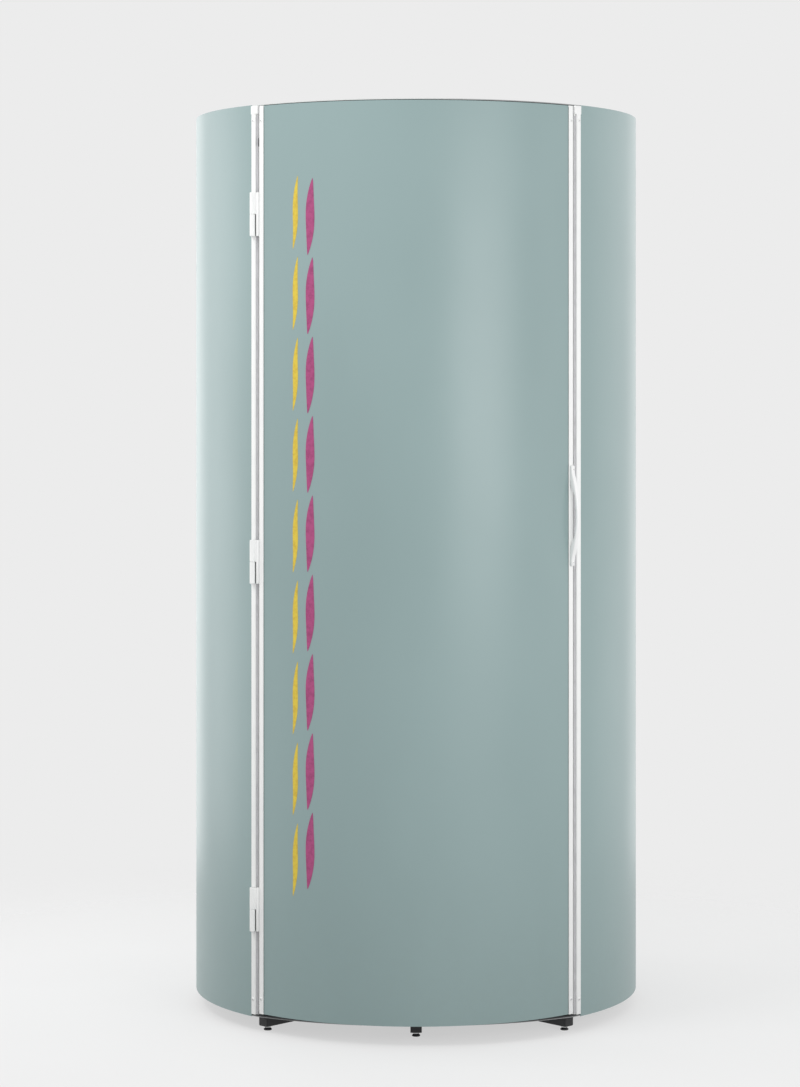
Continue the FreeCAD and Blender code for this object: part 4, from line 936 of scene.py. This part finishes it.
# %% Dial strokes and numbers
MINUTES, DEGREES, FIGURES, INK = 20, 15, 0.0262, 0.0001
print_black = moulded("dial_print", tint(30, 30, 32), 0.5)
mesh = bmesh.new()
for minute in range(MINUTES + 1):
    start, stop, wide = (0.0196, 0.0226, 0.0008) if minute % 5 == 0 else (0.0196, 0.0212, 0.0005)
    at = face @ shift(0, DIAL_Y, 0) @ Matrix.Rotation(math.radians(-DEGREES * minute), 4, "Z")
    mark = block(wide, stop - start, BOX_DEPTH - INK, BOX_DEPTH + INK, 0.0001, 0.00003)
    skin(mesh, mark, at @ shift(0, (start + stop) / 2, 0))
for minute in range(0, MINUTES + 1, 5):
    text = bpy.data.curves.new("dial_number", "FONT")
    text.body, text.size, text.extrude = str(minute), 0.0052, 0.00008
    text.align_x, text.align_y = "CENTER", "CENTER"
    holder = bpy.data.objects.new("dial_number", text)
    scene.collection.objects.link(holder)
    bpy.context.view_layer.update()
    flat = bpy.data.meshes.new_from_object(holder.evaluated_get(bpy.context.evaluated_depsgraph_get()))
    angle = math.radians(DEGREES * minute)
    flat.transform(face @ shift(FIGURES * math.sin(angle), DIAL_Y + FIGURES * math.cos(angle), BOX_DEPTH))
    mesh.from_mesh(flat)
    bpy.data.objects.remove(holder)
piece("dial_marks", mesh, [print_black], "cabin")

# %% Knob and buttons
def fluted(radius, height, depth, count=18, sides=108):
    """A circle whose radius rises and falls; depth is how deep its grooves are."""
    loop = []
    for i in range(sides):
        a = 2 * math.pi * i / sides
        grip = radius - depth * (0.5 + 0.5 * math.cos(count * a)) ** 2
        loop.append((grip * math.cos(a), grip * math.sin(a), height))
    return loop


knob = [(0.0178, 0.0003, 0), (0.018, 0.0008, 0), (0.018, 0.0026, 0), (0.0172, 0.0036, 0.0004),
        (0.0166, 0.0140, 0.0009), (0.0156, 0.0158, 0.0007), (0.0146, 0.0163, 0)]
pointer = block(0.0022, 0.0125, 0.0160, 0.0172, 0.0006, 0.0003)
at = face @ shift(0, DIAL_Y, BOX_DEPTH)
mesh = bmesh.new()
skin(mesh, [fluted(*row) for row in knob], at)
skin(mesh, pointer, at @ shift(0, 0.0088, 0), 1)
piece("timer_dial_knob", mesh, [black_plastic, handle_white], "timer_knob", "timer_knob", crease=40)

button = [(0.0086, -0.008), (0.009, -0.0076), (0.009, 0.0030), (0.0084, 0.0040), (0.0068, 0.0047),
          (0.0040, 0.005), (0.0015, 0.00505)]
bezel = [(0.0093, -0.0005), (0.0118, -0.0005), (0.0118, 0.0006), (0.0112, 0.0013), (0.0099, 0.0013),
         (0.0093, 0.0006)]
bezels = bmesh.new()
for name, y, finish in (("start", -0.015, green_plastic), ("stop", -0.060, red_plastic)):
    at = face @ shift(0, y, BOX_DEPTH)
    mesh = bmesh.new()
    skin(mesh, turned(button, 40), at)
    piece(f"{name}_cap", mesh, [finish], f"{name}_button", f"{name}_button")
    skin(bezels, turned(bezel, 40), at, ends="joined")
piece("button_bezels", bezels, [zinc], "cabin")

# %% [markdown]
# ## Grab bars
# Two upright bars on the shield rails give a hand hold. Each is white tube with domed ends, on two turned
# standoffs with a small flange against the rail.

# %% Grab bars
BAR_RADIUS, BAR_HEIGHT, STAND = 0.390, 1.150, 0.180
dome = [(0.0035, 0.2), (0.0078, 0.1985), (0.0108, 0.1955), (0.0122, 0.191), (0.0125, 0.186)]
standoff = [(0.0100, 0.0321), (0.0100, 0.0300), (0.0086, 0.0285), (0.0070, 0.0270), (0.0070, 0.008)]
right_bar = on_drum(REAR, BAR_RADIUS, BAR_HEIGHT)
mesh = bmesh.new()
for side in (right_bar, MIRROR @ right_bar):
    skin(mesh, turned([(radius, -z) for radius, z in dome] + dome[::-1]), side)
    for height in (-STAND, STAND):
        skin(mesh, turned(standoff, 24), side @ shift(0, 0, height) @ OUTWARD)
piece("hand_bars", mesh, [white], "cabin", "grab_bars")

# %% [markdown]
# ## Decoration on the door
# A plain grey-green door looks bare, so two columns of slim strokes in yellow and magenta film run down its
# hinge side, staggered like reeds. Each stroke is a lens shape of 0.2 mm film that follows the door's curve:
# its width swells and shrinks along its length, and its points are laid on the cylinder one by one.

# %% Film strokes
def film(name, colour, deeper):
    """Printed film with a slight mottle."""
    made = Finish(name, Roughness=0.4)
    mottle = made.noise(90, 5, 0.7)
    return made.surface(Base_Color=made.blend(deeper, colour, mottle.spread(0.3, 0.6)),
                        Roughness=0.34 + mottle * 0.14, Normal=made.relief(mottle, 0.00005))


yellow_film = film("yellow_film", tint(222, 196, 66), tint(203, 172, 58))
magenta_film = film("magenta_film", tint(172, 72, 124), tint(148, 58, 106))
FILM, LEAN, WAVER, STROKES = 0.0002, 0.012, 0.0022, 9


def stroke(mesh, turn, low, length, width, finish):
    """A lens of film on the door's curve, whose top stands a little to the right of its foot."""
    rows = []
    for i in range(25):
        share = i / 24
        half = width / 2 * (0.04 + 0.96 * math.sin(math.pi * share) ** 0.8)
        middle = LEAN * (share - 0.5) + WAVER * math.sin(2 * math.pi * share)
        points = [middle + half * step / 3 for step in range(-3, 4)]
        inner = RADIUS + 0.00002
        laid = [(x, inner + FILM) for x in points] + [(x, inner) for x in points[::-1]]
        z = low + length * share
        rows.append([on_drum(turn + math.degrees(x / RADIUS), r) @ Vector((0, 0, z)) for x, r in laid])
    skin(mesh, rows, finish=finish)


mesh = bmesh.new()
for turn, first, pitch, length, width, finish in ((-31.0, 0.312, 0.176, 0.158, 0.0135, 0),
                                                  (-26.8, 0.330, 0.172, 0.166, 0.0215, 1)):
    for i in range(STROKES):
        stroke(mesh, turn, first + pitch * i, length, width, finish)
piece("door_film_strokes", mesh, [yellow_film, magenta_film], "door")
